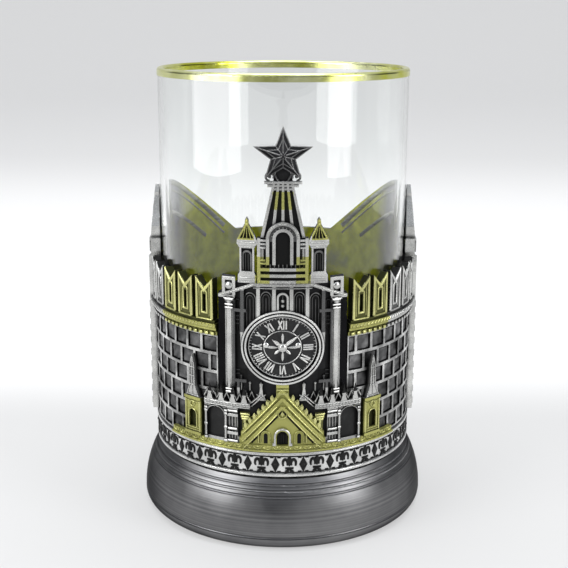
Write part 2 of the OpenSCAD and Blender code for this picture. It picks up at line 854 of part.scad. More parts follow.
module seam_strip() {
    color([0.6, 0.6, 0.58]) tile(half_turn, layer1_in, layer1_out, ribbon_z, shell_top + strip_over)
        bar(-strip_half_w, strip_half_w, ribbon_z, shell_top + strip_over);
}

// Handle

module handle_plate(z) {
    plate_in = layer1_out + solder;
    half_w = plate_half_w - plate_corner;
    half_h = plate_half_h - plate_corner;
    color([0.62, 0.62, 0.6]) tile(half_turn, plate_in, plate_out, z - plate_half_h, z + plate_half_h)
        translate([0, z]) {
            bar(-plate_half_w, plate_half_w, -half_h, half_h);
            bar(-half_w, half_w, -plate_half_h, plate_half_h);
            for (x = [-half_w, half_w], y = [-half_h, half_h]) translate([x, y]) circle(plate_corner);
        }
}

// The bow's round-edged section swept along its curve, grown all round by a margin
module bow_sweep(margin) {
    reach = bow_end_turn + bow_over_turn;
    translate([0, handle_start + handle_lean, handle_mid_z]) rotate([90, 0, 90])
        rotate([0, 0, -reach]) rotate_extrude(angle = 2 * reach, $fn = 128) translate([bow_r, 0]) {
            square([handle_t + 2 * margin, handle_w - handle_t], center = true);
            for (y = [-1, 1]) translate([0, y * (handle_w - handle_t) / 2]) circle(handle_t / 2 + margin);
        }
}

module handle_bow() {
    far = 2 * (bow_r + handle_lean);
    color([0.58, 0.58, 0.56]) intersection() {
        bow_sweep(0);
        translate([-handle_w, handle_start, handle_mid_z - far / 2]) cube([2 * handle_w, far, far]);
    }
}

// A leaf-shaped rest that lies on the top of the bow, with a shallow dip for the thumb
module thumb_rest() {
    top = handle_mid_z + bow_r + handle_t / 2;
    tip_y = handle_start + thumb_reach - thumb_half_w;
    dip_r = 3 * thumb_half_w;
    color([0.62, 0.62, 0.6]) difference() {
        translate([0, 0, top - thumb_drop]) linear_extrude(thumb_t + thumb_drop) {
            translate([0, tip_y]) circle(thumb_half_w);
            polygon([[-thumb_neck_half_w, handle_start], [thumb_neck_half_w, handle_start],
                [thumb_half_w, tip_y], [-thumb_half_w, tip_y]]);
        }
        bow_sweep(solder);
        translate([0, tip_y, top + thumb_t + dip_r - thumb_dip]) rotate([90, 0, 0]) sphere(dip_r, $fn = 96);
    }
}

tea_glass();
gilt_rim();
foot_shell();
floor_plate();
sleeve_shell();
ribbon_band();
brickwork(side_half_turn - side_turn, -tower_turn, front_bricks);  // brickwork_front_left
brickwork(tower_turn, side_turn - side_half_turn, front_bricks);  // brickwork_front_right
brickwork(strip_half_turn - half_turn, -side_turn - side_half_turn, rear_bricks);  // brickwork_rear_left
brickwork(side_turn + side_half_turn, half_turn - strip_half_turn, rear_bricks);  // brickwork_rear_right
string_course();
battlement(-1);  // battlement_left
battlement(1);  // battlement_right
gate_tower();
clock_dial();
clock_bezel();
clock_hands();
belfry();
pinnacle(-1);  // pinnacle_left
pinnacle(1);  // pinnacle_right
spire();
star();
ground_ledge();
gate_porch();
parapet(-1);  // parapet_left
parapet(1);  // parapet_right
turret(-1);  // turret_left
turret(1);  // turret_right
side_tower(-1);  // side_tower_left
side_tower(1);  // side_tower_right
rear_panel();
seam_strip();
handle_plate(handle_mid_z + handle_h / 2);  // handle_plate_upper
handle_plate(handle_mid_z - handle_h / 2);  // handle_plate_lower
handle_bow();
thumb_rest();
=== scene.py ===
"""Looks of the tea glass holder: finishes of its CAD parts, fine relief, floor, light and camera."""

import random
from math import asin, atan2, ceil, cos, degrees, pi, radians, sin, sqrt

import bmesh
import bpy
from mathutils import Matrix, Vector


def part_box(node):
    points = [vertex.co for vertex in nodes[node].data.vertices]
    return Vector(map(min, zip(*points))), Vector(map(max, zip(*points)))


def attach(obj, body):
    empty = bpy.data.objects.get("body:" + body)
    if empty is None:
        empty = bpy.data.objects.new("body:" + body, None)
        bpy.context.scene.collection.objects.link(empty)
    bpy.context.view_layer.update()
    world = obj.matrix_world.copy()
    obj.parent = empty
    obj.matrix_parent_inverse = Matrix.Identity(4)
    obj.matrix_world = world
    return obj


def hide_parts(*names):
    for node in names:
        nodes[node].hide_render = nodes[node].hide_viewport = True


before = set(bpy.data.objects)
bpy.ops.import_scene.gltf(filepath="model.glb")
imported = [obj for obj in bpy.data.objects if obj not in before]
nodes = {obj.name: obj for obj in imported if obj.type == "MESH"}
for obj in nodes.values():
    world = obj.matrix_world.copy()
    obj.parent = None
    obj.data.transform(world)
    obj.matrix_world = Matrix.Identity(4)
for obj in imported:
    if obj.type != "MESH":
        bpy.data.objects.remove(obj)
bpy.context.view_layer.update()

# Sizes are in millimetres and are brought to metres where a mesh, lamp or camera is made
MM = 0.001


def high_corner(node):
    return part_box(node)[1] / MM


def low_corner(node):
    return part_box(node)[0] / MM


# Radii of the layers of relief
SHELL_T, LAYER, FRONT_T, BOLD_T, JOINT = 1.0, 0.65, 0.75, 0.5, 0.05
SHELL_OUT = high_corner("sleeve_shell").x
SHELL_IN = SHELL_OUT - SHELL_T
LAYER1_IN = SHELL_OUT + JOINT
GROUND_R = LAYER1_IN + LAYER
FRONT_R = GROUND_R + JOINT + FRONT_T
BOLD_R = FRONT_R + BOLD_T
BATTLEMENT_R = GROUND_R + 0.5
CREST_R = BOLD_R + LAYER
LEDGE_R = LAYER1_IN + 1.75
SIDE_TOWER_R = LAYER1_IN + 1.55
HANDLE_PLATE_R = GROUND_R + JOINT + 1.4
ROOF_R = SHELL_IN + 0.9

# Levels
SLEEVE_TOP = high_corner("sleeve_shell").z
WALL_Z = low_corner("brickwork_front_left").z
LEDGE_TOP = high_corner("ground_ledge").z
PORCH_Z = LEDGE_TOP + JOINT
TOWER_TOP = low_corner("belfry").z
EAVES = WALL_Z + 41.5
CORNICE_Z = 71.5
SPIRE_Z = low_corner("spire").z
CLOCK_Z = (high_corner("clock_bezel").z + low_corner("clock_bezel").z) / 2
RIBBON_Z = low_corner("ribbon_band").z
RIBBON_TOP = high_corner("ribbon_band").z
BATTLEMENT_TOP = high_corner("battlement_left").z

# Half widths
TOWER_HALF_W = high_corner("gate_tower").x
SIDE_TOWER_HALF_W = high_corner("side_tower_right").y
SIDE_HALF_W = SIDE_TOWER_HALF_W / 1.2
BACK_HALF_W = high_corner("seam_strip").x


# Node materials. A colour is three numbers.

def feed(tree, socket, value):
    """Link a node's output to a socket, or set the socket to a colour or a number."""
    if isinstance(value, bpy.types.NodeSocket):
        tree.links.new(value, socket)
    else:
        socket.default_value = (*value, 1.0) if isinstance(value, tuple) else value


def feed_all(tree, node, inputs):
    for name, value in inputs.items():
        feed(tree, node.inputs[name], value)


def add_node(tree, kind, inputs=None, **settings):
    node = tree.nodes.new(kind)
    for name, value in settings.items():
        setattr(node, name, value)
    feed_all(tree, node, inputs or {})
    return node


def maths(tree, operation, a, b=0.0, c=0.0, clamp=False):
    node = add_node(tree, "ShaderNodeMath", operation=operation, use_clamp=clamp)
    for socket, value in zip(node.inputs, (a, b, c)):
        feed(tree, socket, value)
    return node.outputs[0]


def map_range(tree, value, low, high, out_low=0.0, out_high=1.0, smooth=False):
    node = add_node(tree, "ShaderNodeMapRange", {"Value": value, "From Min": low, "From Max": high,
                                                 "To Min": out_low, "To Max": out_high})
    if smooth:
        node.interpolation_type = "SMOOTHSTEP"
    return node.outputs["Result"]


# Sockets of a Mix node that mixes colours
MIX_SHARE, MIX_A, MIX_B, MIX_RESULT = 0, 6, 7, 2


def mix_colour(tree, share, a, b):
    node = add_node(tree, "ShaderNodeMix", data_type="RGBA")
    for socket, value in ((MIX_SHARE, share), (MIX_A, a), (MIX_B, b)):
        feed(tree, node.inputs[socket], value)
    return node.outputs[MIX_RESULT]


def grey(value):
    return (value, value, value)


def noise(tree, place, scale, detail=3.0, roughness=0.5):
    return add_node(tree, "ShaderNodeTexNoise", {"Vector": place, "Scale": scale, "Detail": detail,
                                                 "Roughness": roughness}).outputs["Fac"]


def bumped(tree, strength, distance, height, **given):
    """The normal of a surface roughened by a height, over a distance in millimetres."""
    inputs = {"Strength": strength, "Distance": distance * MM, "Height": height, **given}
    return add_node(tree, "ShaderNodeBump", inputs).outputs["Normal"]


def object_place(tree):
    """Object coordinates, whole and split into X, Y and Z."""
    place = tree.nodes.new("ShaderNodeTexCoord").outputs["Object"]
    return place, add_node(tree, "ShaderNodeSeparateXYZ", {"Vector": place}).outputs


def axis_distance(tree, split):
    squares = [maths(tree, "MULTIPLY", split[letter], split[letter]) for letter in "XY"]
    return maths(tree, "SQRT", maths(tree, "ADD", *squares))


# The finishes made here, by name
MATERIALS = {}


def new_material(name):
    material = MATERIALS[name] = bpy.data.materials.new(name)
    material.use_nodes = True
    return material.node_tree, material.node_tree.nodes["Principled BSDF"]


PATINA_INPUTS = {"Low radius": 0.035, "High radius": 0.037, "Hollow": grey(0.02), "Ridge": grey(0.8),
                 "Tarnish": 0.4, "Mottle": 0.3}
CREVICE_REACH = 1.3


def patina_group():
    """Metal that is rubbed bright on what stands furthest from the axis, and dark in the hollows."""
    group = bpy.data.node_groups.new("Patina", "ShaderNodeTree")
    for label, value in PATINA_INPUTS.items():
        kind = "NodeSocketColor" if isinstance(value, tuple) else "NodeSocketFloat"
        feed(group, group.interface.new_socket(label, in_out="INPUT", socket_type=kind), value)
    group.interface.new_socket("Color", in_out="OUTPUT", socket_type="NodeSocketColor")
    for label in ("Roughness", "Height", "Rubbed"):
        group.interface.new_socket(label, in_out="OUTPUT", socket_type="NodeSocketFloat")
    given = group.nodes.new("NodeGroupInput").outputs
    place, split = object_place(group)
    radius = axis_distance(group, split)
    lift = map_range(group, radius, given["Low radius"], given["High radius"], smooth=True)
    crevice = add_node(group, "ShaderNodeAmbientOcclusion", {"Distance": CREVICE_REACH * MM}, samples=6)
    open_share = map_range(group, crevice.outputs["AO"], 0.4, 0.92, smooth=True)
    blotches = noise(group, place, 420.0, 4.0, 0.6)
    specks = noise(group, place, 2600.0, 2.0)
    speck_lift = maths(group, "SUBTRACT", specks, 0.5)
    stains = maths(group, "SUBTRACT", noise(group, place, 150.0, 3.0), 0.5)
    uneven = maths(group, "MULTIPLY", maths(group, "SUBTRACT", blotches, 0.5), given["Tarnish"])
    uneven = maths(group, "MULTIPLY_ADD", speck_lift, 0.3, uneven)
    worn = maths(group, "MULTIPLY_ADD", uneven, maths(group, "ADD", lift, 0.12), lift)
    rubbed = maths(group, "MULTIPLY", worn, open_share, clamp=True)
    value = maths(group, "MULTIPLY_ADD", stains, maths(group, "MULTIPLY", given["Mottle"], 4.0), 0.95)
    tinted = add_node(group, "ShaderNodeHueSaturation", {
        "Color": mix_colour(group, rubbed, given["Hollow"], given["Ridge"]), "Value": value})
    rough = maths(group, "MULTIPLY_ADD", rubbed, -0.34, 0.6)
    feed_all(group, group.nodes.new("NodeGroupOutput"), {
        "Color": tinted.outputs["Color"],
        "Roughness": maths(group, "MULTIPLY_ADD", speck_lift, 0.14, rough, clamp=True),
        "Height": maths(group, "MULTIPLY_ADD", blotches, 0.6, maths(group, "MULTIPLY", specks, 0.4)),
        "Rubbed": rubbed})
    return group


PATINA = patina_group()
ZONE_HOLLOW = 0.03
SOFT_EDGE = 0.12
GRAIN = 0.02


def replate(tree, ridge, hollow, zones):
    """Ridge and hollow colours with other metal in zones: measure, its two limits, two heights, colour."""
    split = object_place(tree)[1]
    turn = maths(tree, "ARCTAN2", split["X"], maths(tree, "MULTIPLY", split["Y"], -1.0))
    measures = {"across": maths(tree, "MULTIPLY", maths(tree, "ABSOLUTE", split["X"]), 1.0 / MM),
                "turn": maths(tree, "MULTIPLY", turn, 180.0 / pi)}
    z = maths(tree, "MULTIPLY", split["Z"], 1.0 / MM)
    for measure, low, high, z_low, z_high, colour in zones:
        share = 1.0
        for value, a, b in ((measures[measure], low, high), (z, z_low, z_high)):
            for operation, limit in (("GREATER_THAN", a), ("LESS_THAN", b)):
                share = maths(tree, "MULTIPLY", share, maths(tree, operation, value, limit))
        ridge = mix_colour(tree, share, ridge, colour)
        hollow = mix_colour(tree, share, hollow, tuple(c * ZONE_HOLLOW for c in colour))
    return ridge, hollow


def relief_metal(name, low, high, hollow, ridge, tarnish=0.5, mottle=0.25, zones=()):
    """Patinated metal: hollow colour at the low radius, ridge colour at the high one, with softened edges."""
    tree, shader = new_material(name)
    if zones:
        ridge, hollow = replate(tree, ridge, hollow, zones)
    patina = add_node(tree, "ShaderNodeGroup", node_tree=PATINA)
    feed_all(tree, patina, {"Low radius": low * MM, "High radius": high * MM, "Hollow": hollow,
                            "Ridge": ridge, "Tarnish": tarnish, "Mottle": mottle})
    soft = add_node(tree, "ShaderNodeBevel", {"Radius": SOFT_EDGE * MM}, samples=4).outputs["Normal"]
    feed_all(tree, shader, {
        "Base Color": patina.outputs["Color"], "Roughness": patina.outputs["Roughness"],
        "Metallic": maths(tree, "MULTIPLY_ADD", patina.outputs["Rubbed"], 0.35, 0.65),
        "Normal": bumped(tree, 0.5, GRAIN, patina.outputs["Height"], Normal=soft)})


BLACK, JET = (0.010, 0.010, 0.011), (0.004, 0.004, 0.005)
SILVER, STEEL, BRIGHT = (0.62, 0.62, 0.60), (0.5, 0.5, 0.49), (0.74, 0.74, 0.72)
DULL, DARK = grey(0.13), grey(0.02)
OLIVE, PALE_GOLD = (0.03, 0.033, 0.005), (0.49, 0.485, 0.165)
LINE_OLIVE, LINE_GOLD = (0.2, 0.2, 0.04), (0.66, 0.65, 0.28)
HIGH, WIDE = 200, 400

# The gilding stops short of the side towers, and leaves bare metal beside the porch
UNGILDED = (("turn", -WIDE, -59.5, 0, HIGH, SILVER), ("turn", 49.0, WIDE, 0, HIGH, SILVER))
# Past 14.62 mm from the middle, the tower's edge is painted black: painted shade of the gap between the tower
# and the battlement
TOWER_ZONES = (("across", 14.62, WIDE, 0, EAVES - 0.7, BLACK),
               ("across", 10.9, 12.72, WALL_Z + 17, EAVES - 0.7, DULL),
               ("across", 9.2, 10.9, EAVES - 9.5, EAVES + 1.5, DULL),
               ("across", 9.0, 10.95, WALL_Z + 18.5, WALL_Z + 22, DULL))
BELFRY_ZONES = (("across", 3.3, 7.0, 0, TOWER_TOP + 6.9, PALE_GOLD),
                ("across", 7.2, 11.5, TOWER_TOP + 11, HIGH, PALE_GOLD))
ROOF_ZONES = (("across", -1, 2.6, TOWER_TOP + 18.6, TOWER_TOP + 23.1, PALE_GOLD),)
PARAPET_ZONES = (("across", -1, WIDE, LEDGE_TOP + 13.6, HIGH, grey(0.03)),)
TURRET_ZONES = (("across", -1, WIDE, WALL_Z + 12.4, HIGH, SILVER),)
PORCH_ZONES = (("across", 11.2, WIDE, LEDGE_TOP + 0.02, HIGH, SILVER),)

relief_metal("brick_metal", GROUND_R - 0.35, GROUND_R, BLACK, STEEL, 2.6, mottle=0.8)
relief_metal("stone_metal", SHELL_OUT, SHELL_OUT + 0.6, (0.006, 0.006, 0.007), grey(0.17), 1.9, mottle=1.2)
relief_metal("gilt_edge_metal", SHELL_OUT, GROUND_R, LINE_OLIVE, LINE_GOLD, 0.9)
relief_metal("wall_edge_metal", SHELL_OUT, GROUND_R, LINE_OLIVE, LINE_GOLD, 0.9, zones=UNGILDED)
relief_metal("inlay_metal", GROUND_R, GROUND_R + 0.8, grey(0.006), grey(0.05), 0.6)
relief_metal("tower_metal", GROUND_R + 0.1, FRONT_R, BLACK, SILVER, 0.6, zones=TOWER_ZONES)
relief_metal("belfry_metal", GROUND_R + 0.1, FRONT_R, BLACK, SILVER, 0.6, zones=BELFRY_ZONES)
relief_metal("roof_metal", SHELL_IN + 0.95, SHELL_IN + 1.5, BLACK, SILVER, 0.6, zones=ROOF_ZONES)
relief_metal("bold_metal", FRONT_R - 0.1, BOLD_R, DARK, SILVER, 0.6)
relief_metal("parapet_metal", FRONT_R - 0.1, BOLD_R, DARK, SILVER, 0.6, zones=PARAPET_ZONES)
relief_metal("ribbon_metal", GROUND_R - 0.3, GROUND_R, grey(0.25), (0.74, 0.74, 0.73))
relief_metal("dial_metal", GROUND_R, GROUND_R + 0.4, BLACK, BRIGHT, 1.1)
relief_metal("bezel_metal", FRONT_R + 0.02, BOLD_R - 0.1, BLACK, BRIGHT, 0.4)
relief_metal("turret_metal", FRONT_R - 0.4, BOLD_R, OLIVE, PALE_GOLD, 0.7, zones=TURRET_ZONES)
relief_metal("gilt_wall_metal", GROUND_R - 0.3, GROUND_R + 0.5, OLIVE, PALE_GOLD, 0.9, zones=UNGILDED)
relief_metal("battlement_metal", BATTLEMENT_R - 0.1, BATTLEMENT_R + 0.35, OLIVE, PALE_GOLD, 0.9,
             zones=UNGILDED)
relief_metal("gilt_porch_metal", FRONT_R - 0.6, BOLD_R, (0.32, 0.32, 0.09), PALE_GOLD, 0.7, zones=PORCH_ZONES)
relief_metal("star_metal", ROOF_R, SHELL_IN + 4.5, JET, (0.03, 0.03, 0.032), 0.8)
relief_metal("star_line_metal", SHELL_IN, SHELL_IN + 1, DARK, grey(0.2), 1.2)
relief_metal("dial_ground", GROUND_R, GROUND_R + 1.2, JET, grey(0.12), 1.6)
relief_metal("side_metal", SHELL_IN - 6, SHELL_IN - 5, BLACK, SILVER, 1.1)
relief_metal("back_metal", GROUND_R, GROUND_R + 1.5, grey(0.1), (0.55, 0.55, 0.53))
relief_metal("border_metal", SHELL_OUT, SHELL_OUT + 0.4, grey(0.03), STEEL, 1.0)
relief_metal("shadow_black", GROUND_R + 0.6, GROUND_R + 3, grey(0.003), DARK)


def sleeve_metal():
    """The plain sleeve: blackened outside, where it shows between the bricks, and olive brass inside, with
    painted shade and a painted highlight on the inner flanks.
    """
    tree, shader = new_material("sleeve_metal")
    place, split = object_place(tree)
    outside = map_range(tree, axis_distance(tree, split), (SHELL_OUT - 0.5) * MM, (SHELL_OUT - 0.2) * MM)
    blotches = noise(tree, place, 300.0, 4.0, 0.6)
    clouds = map_range(tree, noise(tree, place, 60.0, 3.0), 0.58, 0.72)
    olive = mix_colour(tree, map_range(tree, blotches, 0.3, 0.7), (0.56, 0.58, 0.02), (0.88, 0.9, 0.07))
    # Painted light: past 29 to 32 mm from the middle, the inner flanks are painted dark grey low down as
    # painted shade, and light grey from 22 to 29 mm above the sleeve's top as a painted highlight
    painted_flank_light = map_range(tree, maths(tree, "ABSOLUTE", split["X"]), 29 * MM, 32 * MM)
    high = map_range(tree, split["Z"], (SLEEVE_TOP + 22) * MM, (SLEEVE_TOP + 29) * MM)
    grey_patches_and_painted_flank_light = mix_colour(tree, painted_flank_light, grey(0.26), mix_colour(tree, high, grey(0.07), grey(0.5)))
    inner = mix_colour(tree, maths(tree, "MAXIMUM", clouds, painted_flank_light), olive, grey_patches_and_painted_flank_light)
    normal = tree.nodes.new("ShaderNodeNewGeometry").outputs["True Normal"]
    facing_up = add_node(tree, "ShaderNodeSeparateXYZ", {"Vector": normal}).outputs["Z"]
    inner = mix_colour(tree, map_range(tree, facing_up, 0.2, 0.4), inner, grey(0.3))
    outer = mix_colour(tree, map_range(tree, blotches, 0.4, 0.7), grey(0.01), grey(0.06))
    feed_all(tree, shader, {
        "Base Color": mix_colour(tree, outside, inner, outer), "Specular Tint": grey(0.3),
        "Roughness": map_range(tree, blotches, 0.3, 0.7, 0.32, 0.55),
        "Metallic": map_range(tree, outside, 0.0, 1.0, 0.5, 0.8),
        "Normal": bumped(tree, 0.3, 0.03, blotches)})


def polished_plate(name, colour, streak, roughness, edge=1.0):
    """Plated metal with faint turning lines and haze. An edge under 1 darkens it where it turns away."""
    tree, shader = new_material(name)
    place, split = object_place(tree)
    height = maths(tree, "MULTIPLY", split["Z"], 1.0 / MM)
    rings = add_node(tree, "ShaderNodeTexNoise", {"W": height, "Scale": 1.6, "Detail": 3.0},
                     noise_dimensions="1D").outputs["Fac"]
    haze = noise(tree, place, 70.0, 4.0, 0.6)
    share = maths(tree, "ADD", maths(tree, "MULTIPLY", rings, 0.5), maths(tree, "MULTIPLY", haze, 0.5))
    feed_all(tree, shader, {
        "Base Color": mix_colour(tree, map_range(tree, share, 0.35, 0.65), colour, streak),
        "Roughness": map_range(tree, haze, 0.3, 0.7, roughness, roughness + 0.12),
        "Metallic": 1.0, "Specular Tint": grey(edge), "Normal": bumped(tree, 0.25, 0.02, rings)})


def clear_glass():
    tree, shader = new_material("clear_glass")
    ripple = noise(tree, object_place(tree)[0], 45.0, 2.0)
    feed_all(tree, shader, {
        "Base Color": mix_colour(tree, ripple, (0.98, 1.0, 0.99), grey(1.0)), "Roughness": 0.0, "IOR": 1.5,
        "Transmission Weight": 1.0, "Normal": bumped(tree, 0.12, 0.15, ripple)})


def fired_gilt():
    """Lemon gilt fired on the lip, thinner in places."""
    tree, shader = new_material("fired_gilt")
    patches = noise(tree, object_place(tree)[0], 60.0, 4.0, 0.6)
    share = map_range(tree, patches, 0.35, 0.65)
    feed_all(tree, shader, {
        "Base Color": mix_colour(tree, share, (0.55, 0.57, 0.05), (0.89, 0.91, 0.54)),
        "Roughness": map_range(tree, patches, 0.3, 0.7, 0.12, 0.3), "Metallic": 1.0})


sleeve_metal()
clear_glass()
fired_gilt()
polished_plate("inner_line_metal", (0.3, 0.31, 0.2), (0.6, 0.6, 0.5), 0.3)
polished_plate("plated_foot", (0.125, 0.125, 0.13), (0.23, 0.23, 0.232), 0.3, edge=0.2)
polished_plate("handle_metal", (0.4, 0.4, 0.39), (0.55, 0.55, 0.53), 0.25)

# Finishes of the CAD parts, by how their names start
FINISHES = {
    "clear_glass": ("tea_glass",), "fired_gilt": ("gilt_rim",), "plated_foot": ("foot_shell",),
    "sleeve_metal": ("floor_plate", "sleeve_shell", "rear_panel"), "ribbon_metal": ("ribbon_band",),
    "brick_metal": ("brickwork",), "gilt_wall_metal": ("string_course",),
    "battlement_metal": ("battlement",), "tower_metal": ("gate_tower",),
    "dial_metal": ("clock_dial", "clock_hands"), "bezel_metal": ("clock_bezel",),
    "belfry_metal": ("belfry", "pinnacle"), "roof_metal": ("spire",), "star_metal": ("star",),
    "gilt_porch_metal": ("ground_ledge", "gate_porch"), "parapet_metal": ("parapet",),
    "turret_metal": ("turret",), "side_metal": ("side_tower",),
    "back_metal": ("seam_strip", "handle_plate"), "handle_metal": ("handle_bow", "thumb_rest")}
for name, node in nodes.items():
    finish = next(metal for metal, starts in FINISHES.items() if name.startswith(starts))
    node.data.materials.clear()
    node.data.materials.append(MATERIALS[finish])


# Fine relief. It is drawn flat in millimetres, x sideways and z up, and laid on the piece that carries it.

SINK = 0.15
BEAD_SIDES = 10
SECTIONS = {
    "round": ((-0.5, -1), (-0.5, 0.15), (-0.36, 0.7), (-0.13, 0.97),
              (0.13, 0.97), (0.36, 0.7), (0.5, 0.15), (0.5, -1)),
    "flat": ((-0.5, -1), (-0.5, 0.65), (-0.34, 1.0), (0.34, 1.0), (0.5, 0.65), (0.5, -1))}


def on_sleeve(radius, turn=0.0, foot=0.0):
    """A face for work pushed straight back onto the sleeve, with heights measured from a foot."""
    c, s = cos(radians(turn)), sin(radians(turn))

    def lay(x, z, h):
        y = -sqrt(max((radius + h) ** 2 - x * x, 0.0))
        return Vector((x * c - y * s, x * s + y * c, foot + z)) * MM
    return lay


def round_sleeve(radius):
    """A face for work that is wrapped round the sleeve: x is measured along the curve."""
    def lay(x, z, h):
        angle = x / radius
        return Vector(((radius + h) * sin(angle), -(radius + h) * cos(angle), z)) * MM
    return lay


def layers(foot=0.0):
    """Faces on the three layers of relief."""
    return [on_sleeve(radius, foot=foot) for radius in (GROUND_R, FRONT_R, BOLD_R)]


GROUND, FRONT = layers()[:2]
SIDES = (-1, 1)


def pair(middle, reach):
    return (middle - reach, middle + reach)


def line(*points, step=1.4):
    """Points along straight lines, close enough together to follow the curve of the sleeve."""
    path = [points[0]]
    for a, b in zip(points, points[1:]):
        pieces = max(1, ceil(abs(b[0] - a[0]) / step))
        path += [(a[0] + (b[0] - a[0]) * i / pieces, a[1] + (b[1] - a[1]) * i / pieces)
                 for i in range(1, pieces + 1)]
    return path


def arc(x, z, half_w, half_h, start, end, steps=12):
    """Points on part of an ellipse; 0 degrees is to the right and 90 is up."""
    angles = [radians(start + (end - start) * i / steps) for i in range(steps + 1)]
    return [(x + half_w * cos(a), z + half_h * sin(a)) for a in angles]


def arch(x, half_w, foot, spring, rise, steps=10, neck=None):
    """An arched opening. A neck is the height of a straight stretch under its crown."""
    left = [(x - half_w, foot)] + ([] if neck is None else [(x - half_w, spring - neck)])
    right = [(2 * x - a, z) for a, z in reversed(left)]
    return left + arc(x, spring, half_w, rise, 180, 0, steps) + right


def moulding(work, lay, path, width, height, section="round", closed=False, ends=1.0):
    """A raised line along a path, mitred at its corners, and narrowed at its ends where ends is under 1."""
    rings = []
    last = len(path) - 1
    for i, here in enumerate(path):
        sides = []
        if closed or i > 0:
            sides.append((Vector(here) - Vector(path[i - 1])).normalized())
        if closed or i < last:
            sides.append((Vector(path[(i + 1) % len(path)]) - Vector(here)).normalized())
        mean = sum(sides, Vector((0, 0))).normalized()
        share = width / max(mean.dot(sides[0]), 0.5)
        if not closed and ends < 1:
            share *= ends + (1 - ends) * sin(pi * i / last)
        rings.append([work.verts.new(lay(here[0] - mean.y * s * share, here[1] + mean.x * s * share,
                                         h * height if h > 0 else -SINK)) for s, h in SECTIONS[section]])
    join_rings(work, rings, closed)


def uprights(work, lay, places, low, high, width, height):
    for x in places:
        moulding(work, lay, [(x, low), (x, high)], width, height)


def rails(work, lay, ends, levels, width, height):
    for z in levels:
        moulding(work, lay, line((ends[0], z), (ends[1], z)), width, height)


def join_rings(work, rings, closed=False):
    count = len(rings[0])
    pairs = list(zip(rings, rings[1:])) + ([(rings[-1], rings[0])] if closed else [])
    for a, b in pairs:
        for k in range(count):
            work.faces.new((a[k], b[k], b[(k + 1) % count], a[(k + 1) % count]))
    if not closed:
        work.faces.new(rings[0])
        work.faces.new(rings[-1][::-1])


def plate(work, lay, outline, height, bevel=0.14):
    """A small raised plate with a chamfered edge. Its outline runs round in one direction."""
    count = len(outline)
    area = sum(outline[i - 1][0] * p[1] - p[0] * outline[i - 1][1] for i, p in enumerate(outline))
    inwards = 1 if area > 0 else -1
    inner = []
    for i, here in enumerate(outline):
        a = (Vector(here) - Vector(outline[i - 1])).normalized()
        b = (Vector(outline[(i + 1) % count]) - Vector(here)).normalized()
        mean = (a + b).normalized()
        share = inwards * bevel / max(mean.dot(a), 0.45)
        inner.append((here[0] - mean.y * share, here[1] + mean.x * share))
    rings = [[work.verts.new(lay(x, z, h)) for x, z in shape]
             for shape, h in ((outline, -SINK), (outline, height - bevel * 0.7), (inner, height))]
    join_rings(work, rings)


def block(work, lay, x, z, half_w, high, height, bevel=0.14):
    """A rectangular plate about x, standing on z."""
    outline = [(x - half_w, z), (x + half_w, z), (x + half_w, z + high), (x - half_w, z + high)]
    plate(work, lay, outline, height, bevel)


def bead(work, lay, x, z, radius, height):
    """A half-round stud."""
    levels = ((1.0, -SINK), (1.0, height * 0.15), (0.8, height * 0.62), (0.42, height * 0.92))
    rings = [[work.verts.new(lay(x + radius * share * cos(2 * pi * k / BEAD_SIDES),
                                 z + radius * share * sin(2 * pi * k / BEAD_SIDES), h))
              for k in range(BEAD_SIDES)] for share, h in levels]
    join_rings(work, rings)


LEAF = ((0, 0), (0.25, -0.36), (0.55, -0.46), (0.82, -0.24), (1, 0), (0.82, 0.24), (0.55, 0.46), (0.25, 0.36))


def leaf(x, z, length, width, turn):
    """A pointed leaf that starts at a place and points away from it."""
    c, s = cos(radians(turn)), sin(radians(turn))
    return [(x + length * a * c - width * b * s, z + length * a * s + width * b * c) for a, b in LEAF]


def finish_piece(name, work, metal, crease=38):
    bmesh.ops.recalc_face_normals(work, faces=work.faces)
    mesh = bpy.data.meshes.new(name)
    work.to_mesh(mesh)
    work.free()
    for polygon in mesh.polygons:
        polygon.use_smooth = True
    mesh.set_sharp_from_angle(angle=radians(crease))
    mesh.materials.append(MATERIALS[metal])
    piece = bpy.data.objects.new(name, mesh)
    bpy.context.scene.collection.objects.link(piece)
    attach(piece, "holder")
    return piece


# Star: raised edges and ridges on its ten dark facets

STAR_LOW, STAR_HIGH = low_corner("star"), high_corner("star")
STAR_R = (STAR_HIGH.z - STAR_LOW.z) / (1 + cos(pi / 5))
STAR_Z = STAR_HIGH.z - STAR_R
STAR_WIDEN = (STAR_HIGH.x - STAR_LOW.x) / 2 / (STAR_R * sin(radians(72)))
STAR_CORE = 0.42
STAR_EDGE, STAR_PEAK = -STAR_HIGH.y + 0.7, -STAR_LOW.y


def star_point(i, share=1.0):
    radius = STAR_R * share * (1 if i % 2 == 0 else STAR_CORE)
    return (radius * sin(radians(36 * i)) * STAR_WIDEN, radius * cos(radians(36 * i)))


def on_star(x, z, h):
    """Height of the facets at a place: the peak is at the middle and the outline is thin."""
    angle = degrees(atan2(x / STAR_WIDEN, z)) % 360
    a, b = (Vector(star_point(int(angle // 36) + k)) for k in (0, 1))
    edge = b - a
    across = x * edge.y - z * edge.x
    share = abs(across / (a.x * edge.y - a.y * edge.x))
    y = STAR_PEAK + (STAR_EDGE - STAR_PEAK) * min(share, 1.0)
    return Vector((x, -y - h, STAR_Z + z)) * MM


def star_ridges():
    work = bmesh.new()
    moulding(work, on_star, [star_point(i, 0.965) for i in range(10)], 0.36, 0.22, closed=True)
    for i in range(10):
        inner, outer = Vector(star_point(i, 0.1)), Vector(star_point(i, 0.9))
        path = [tuple(inner.lerp(outer, k / 4)) for k in range(5)]
        moulding(work, on_star, path, 0.24 if i % 2 else 0.36, 0.16)
    for i in range(0, 10, 2):
        path = [star_point(i - 1, 0.62), star_point(i, 0.6), star_point(i + 1, 0.62)]
        moulding(work, on_star, path, 0.26, 0.12)
    finish_piece("star_ridges", work, "star_line_metal")


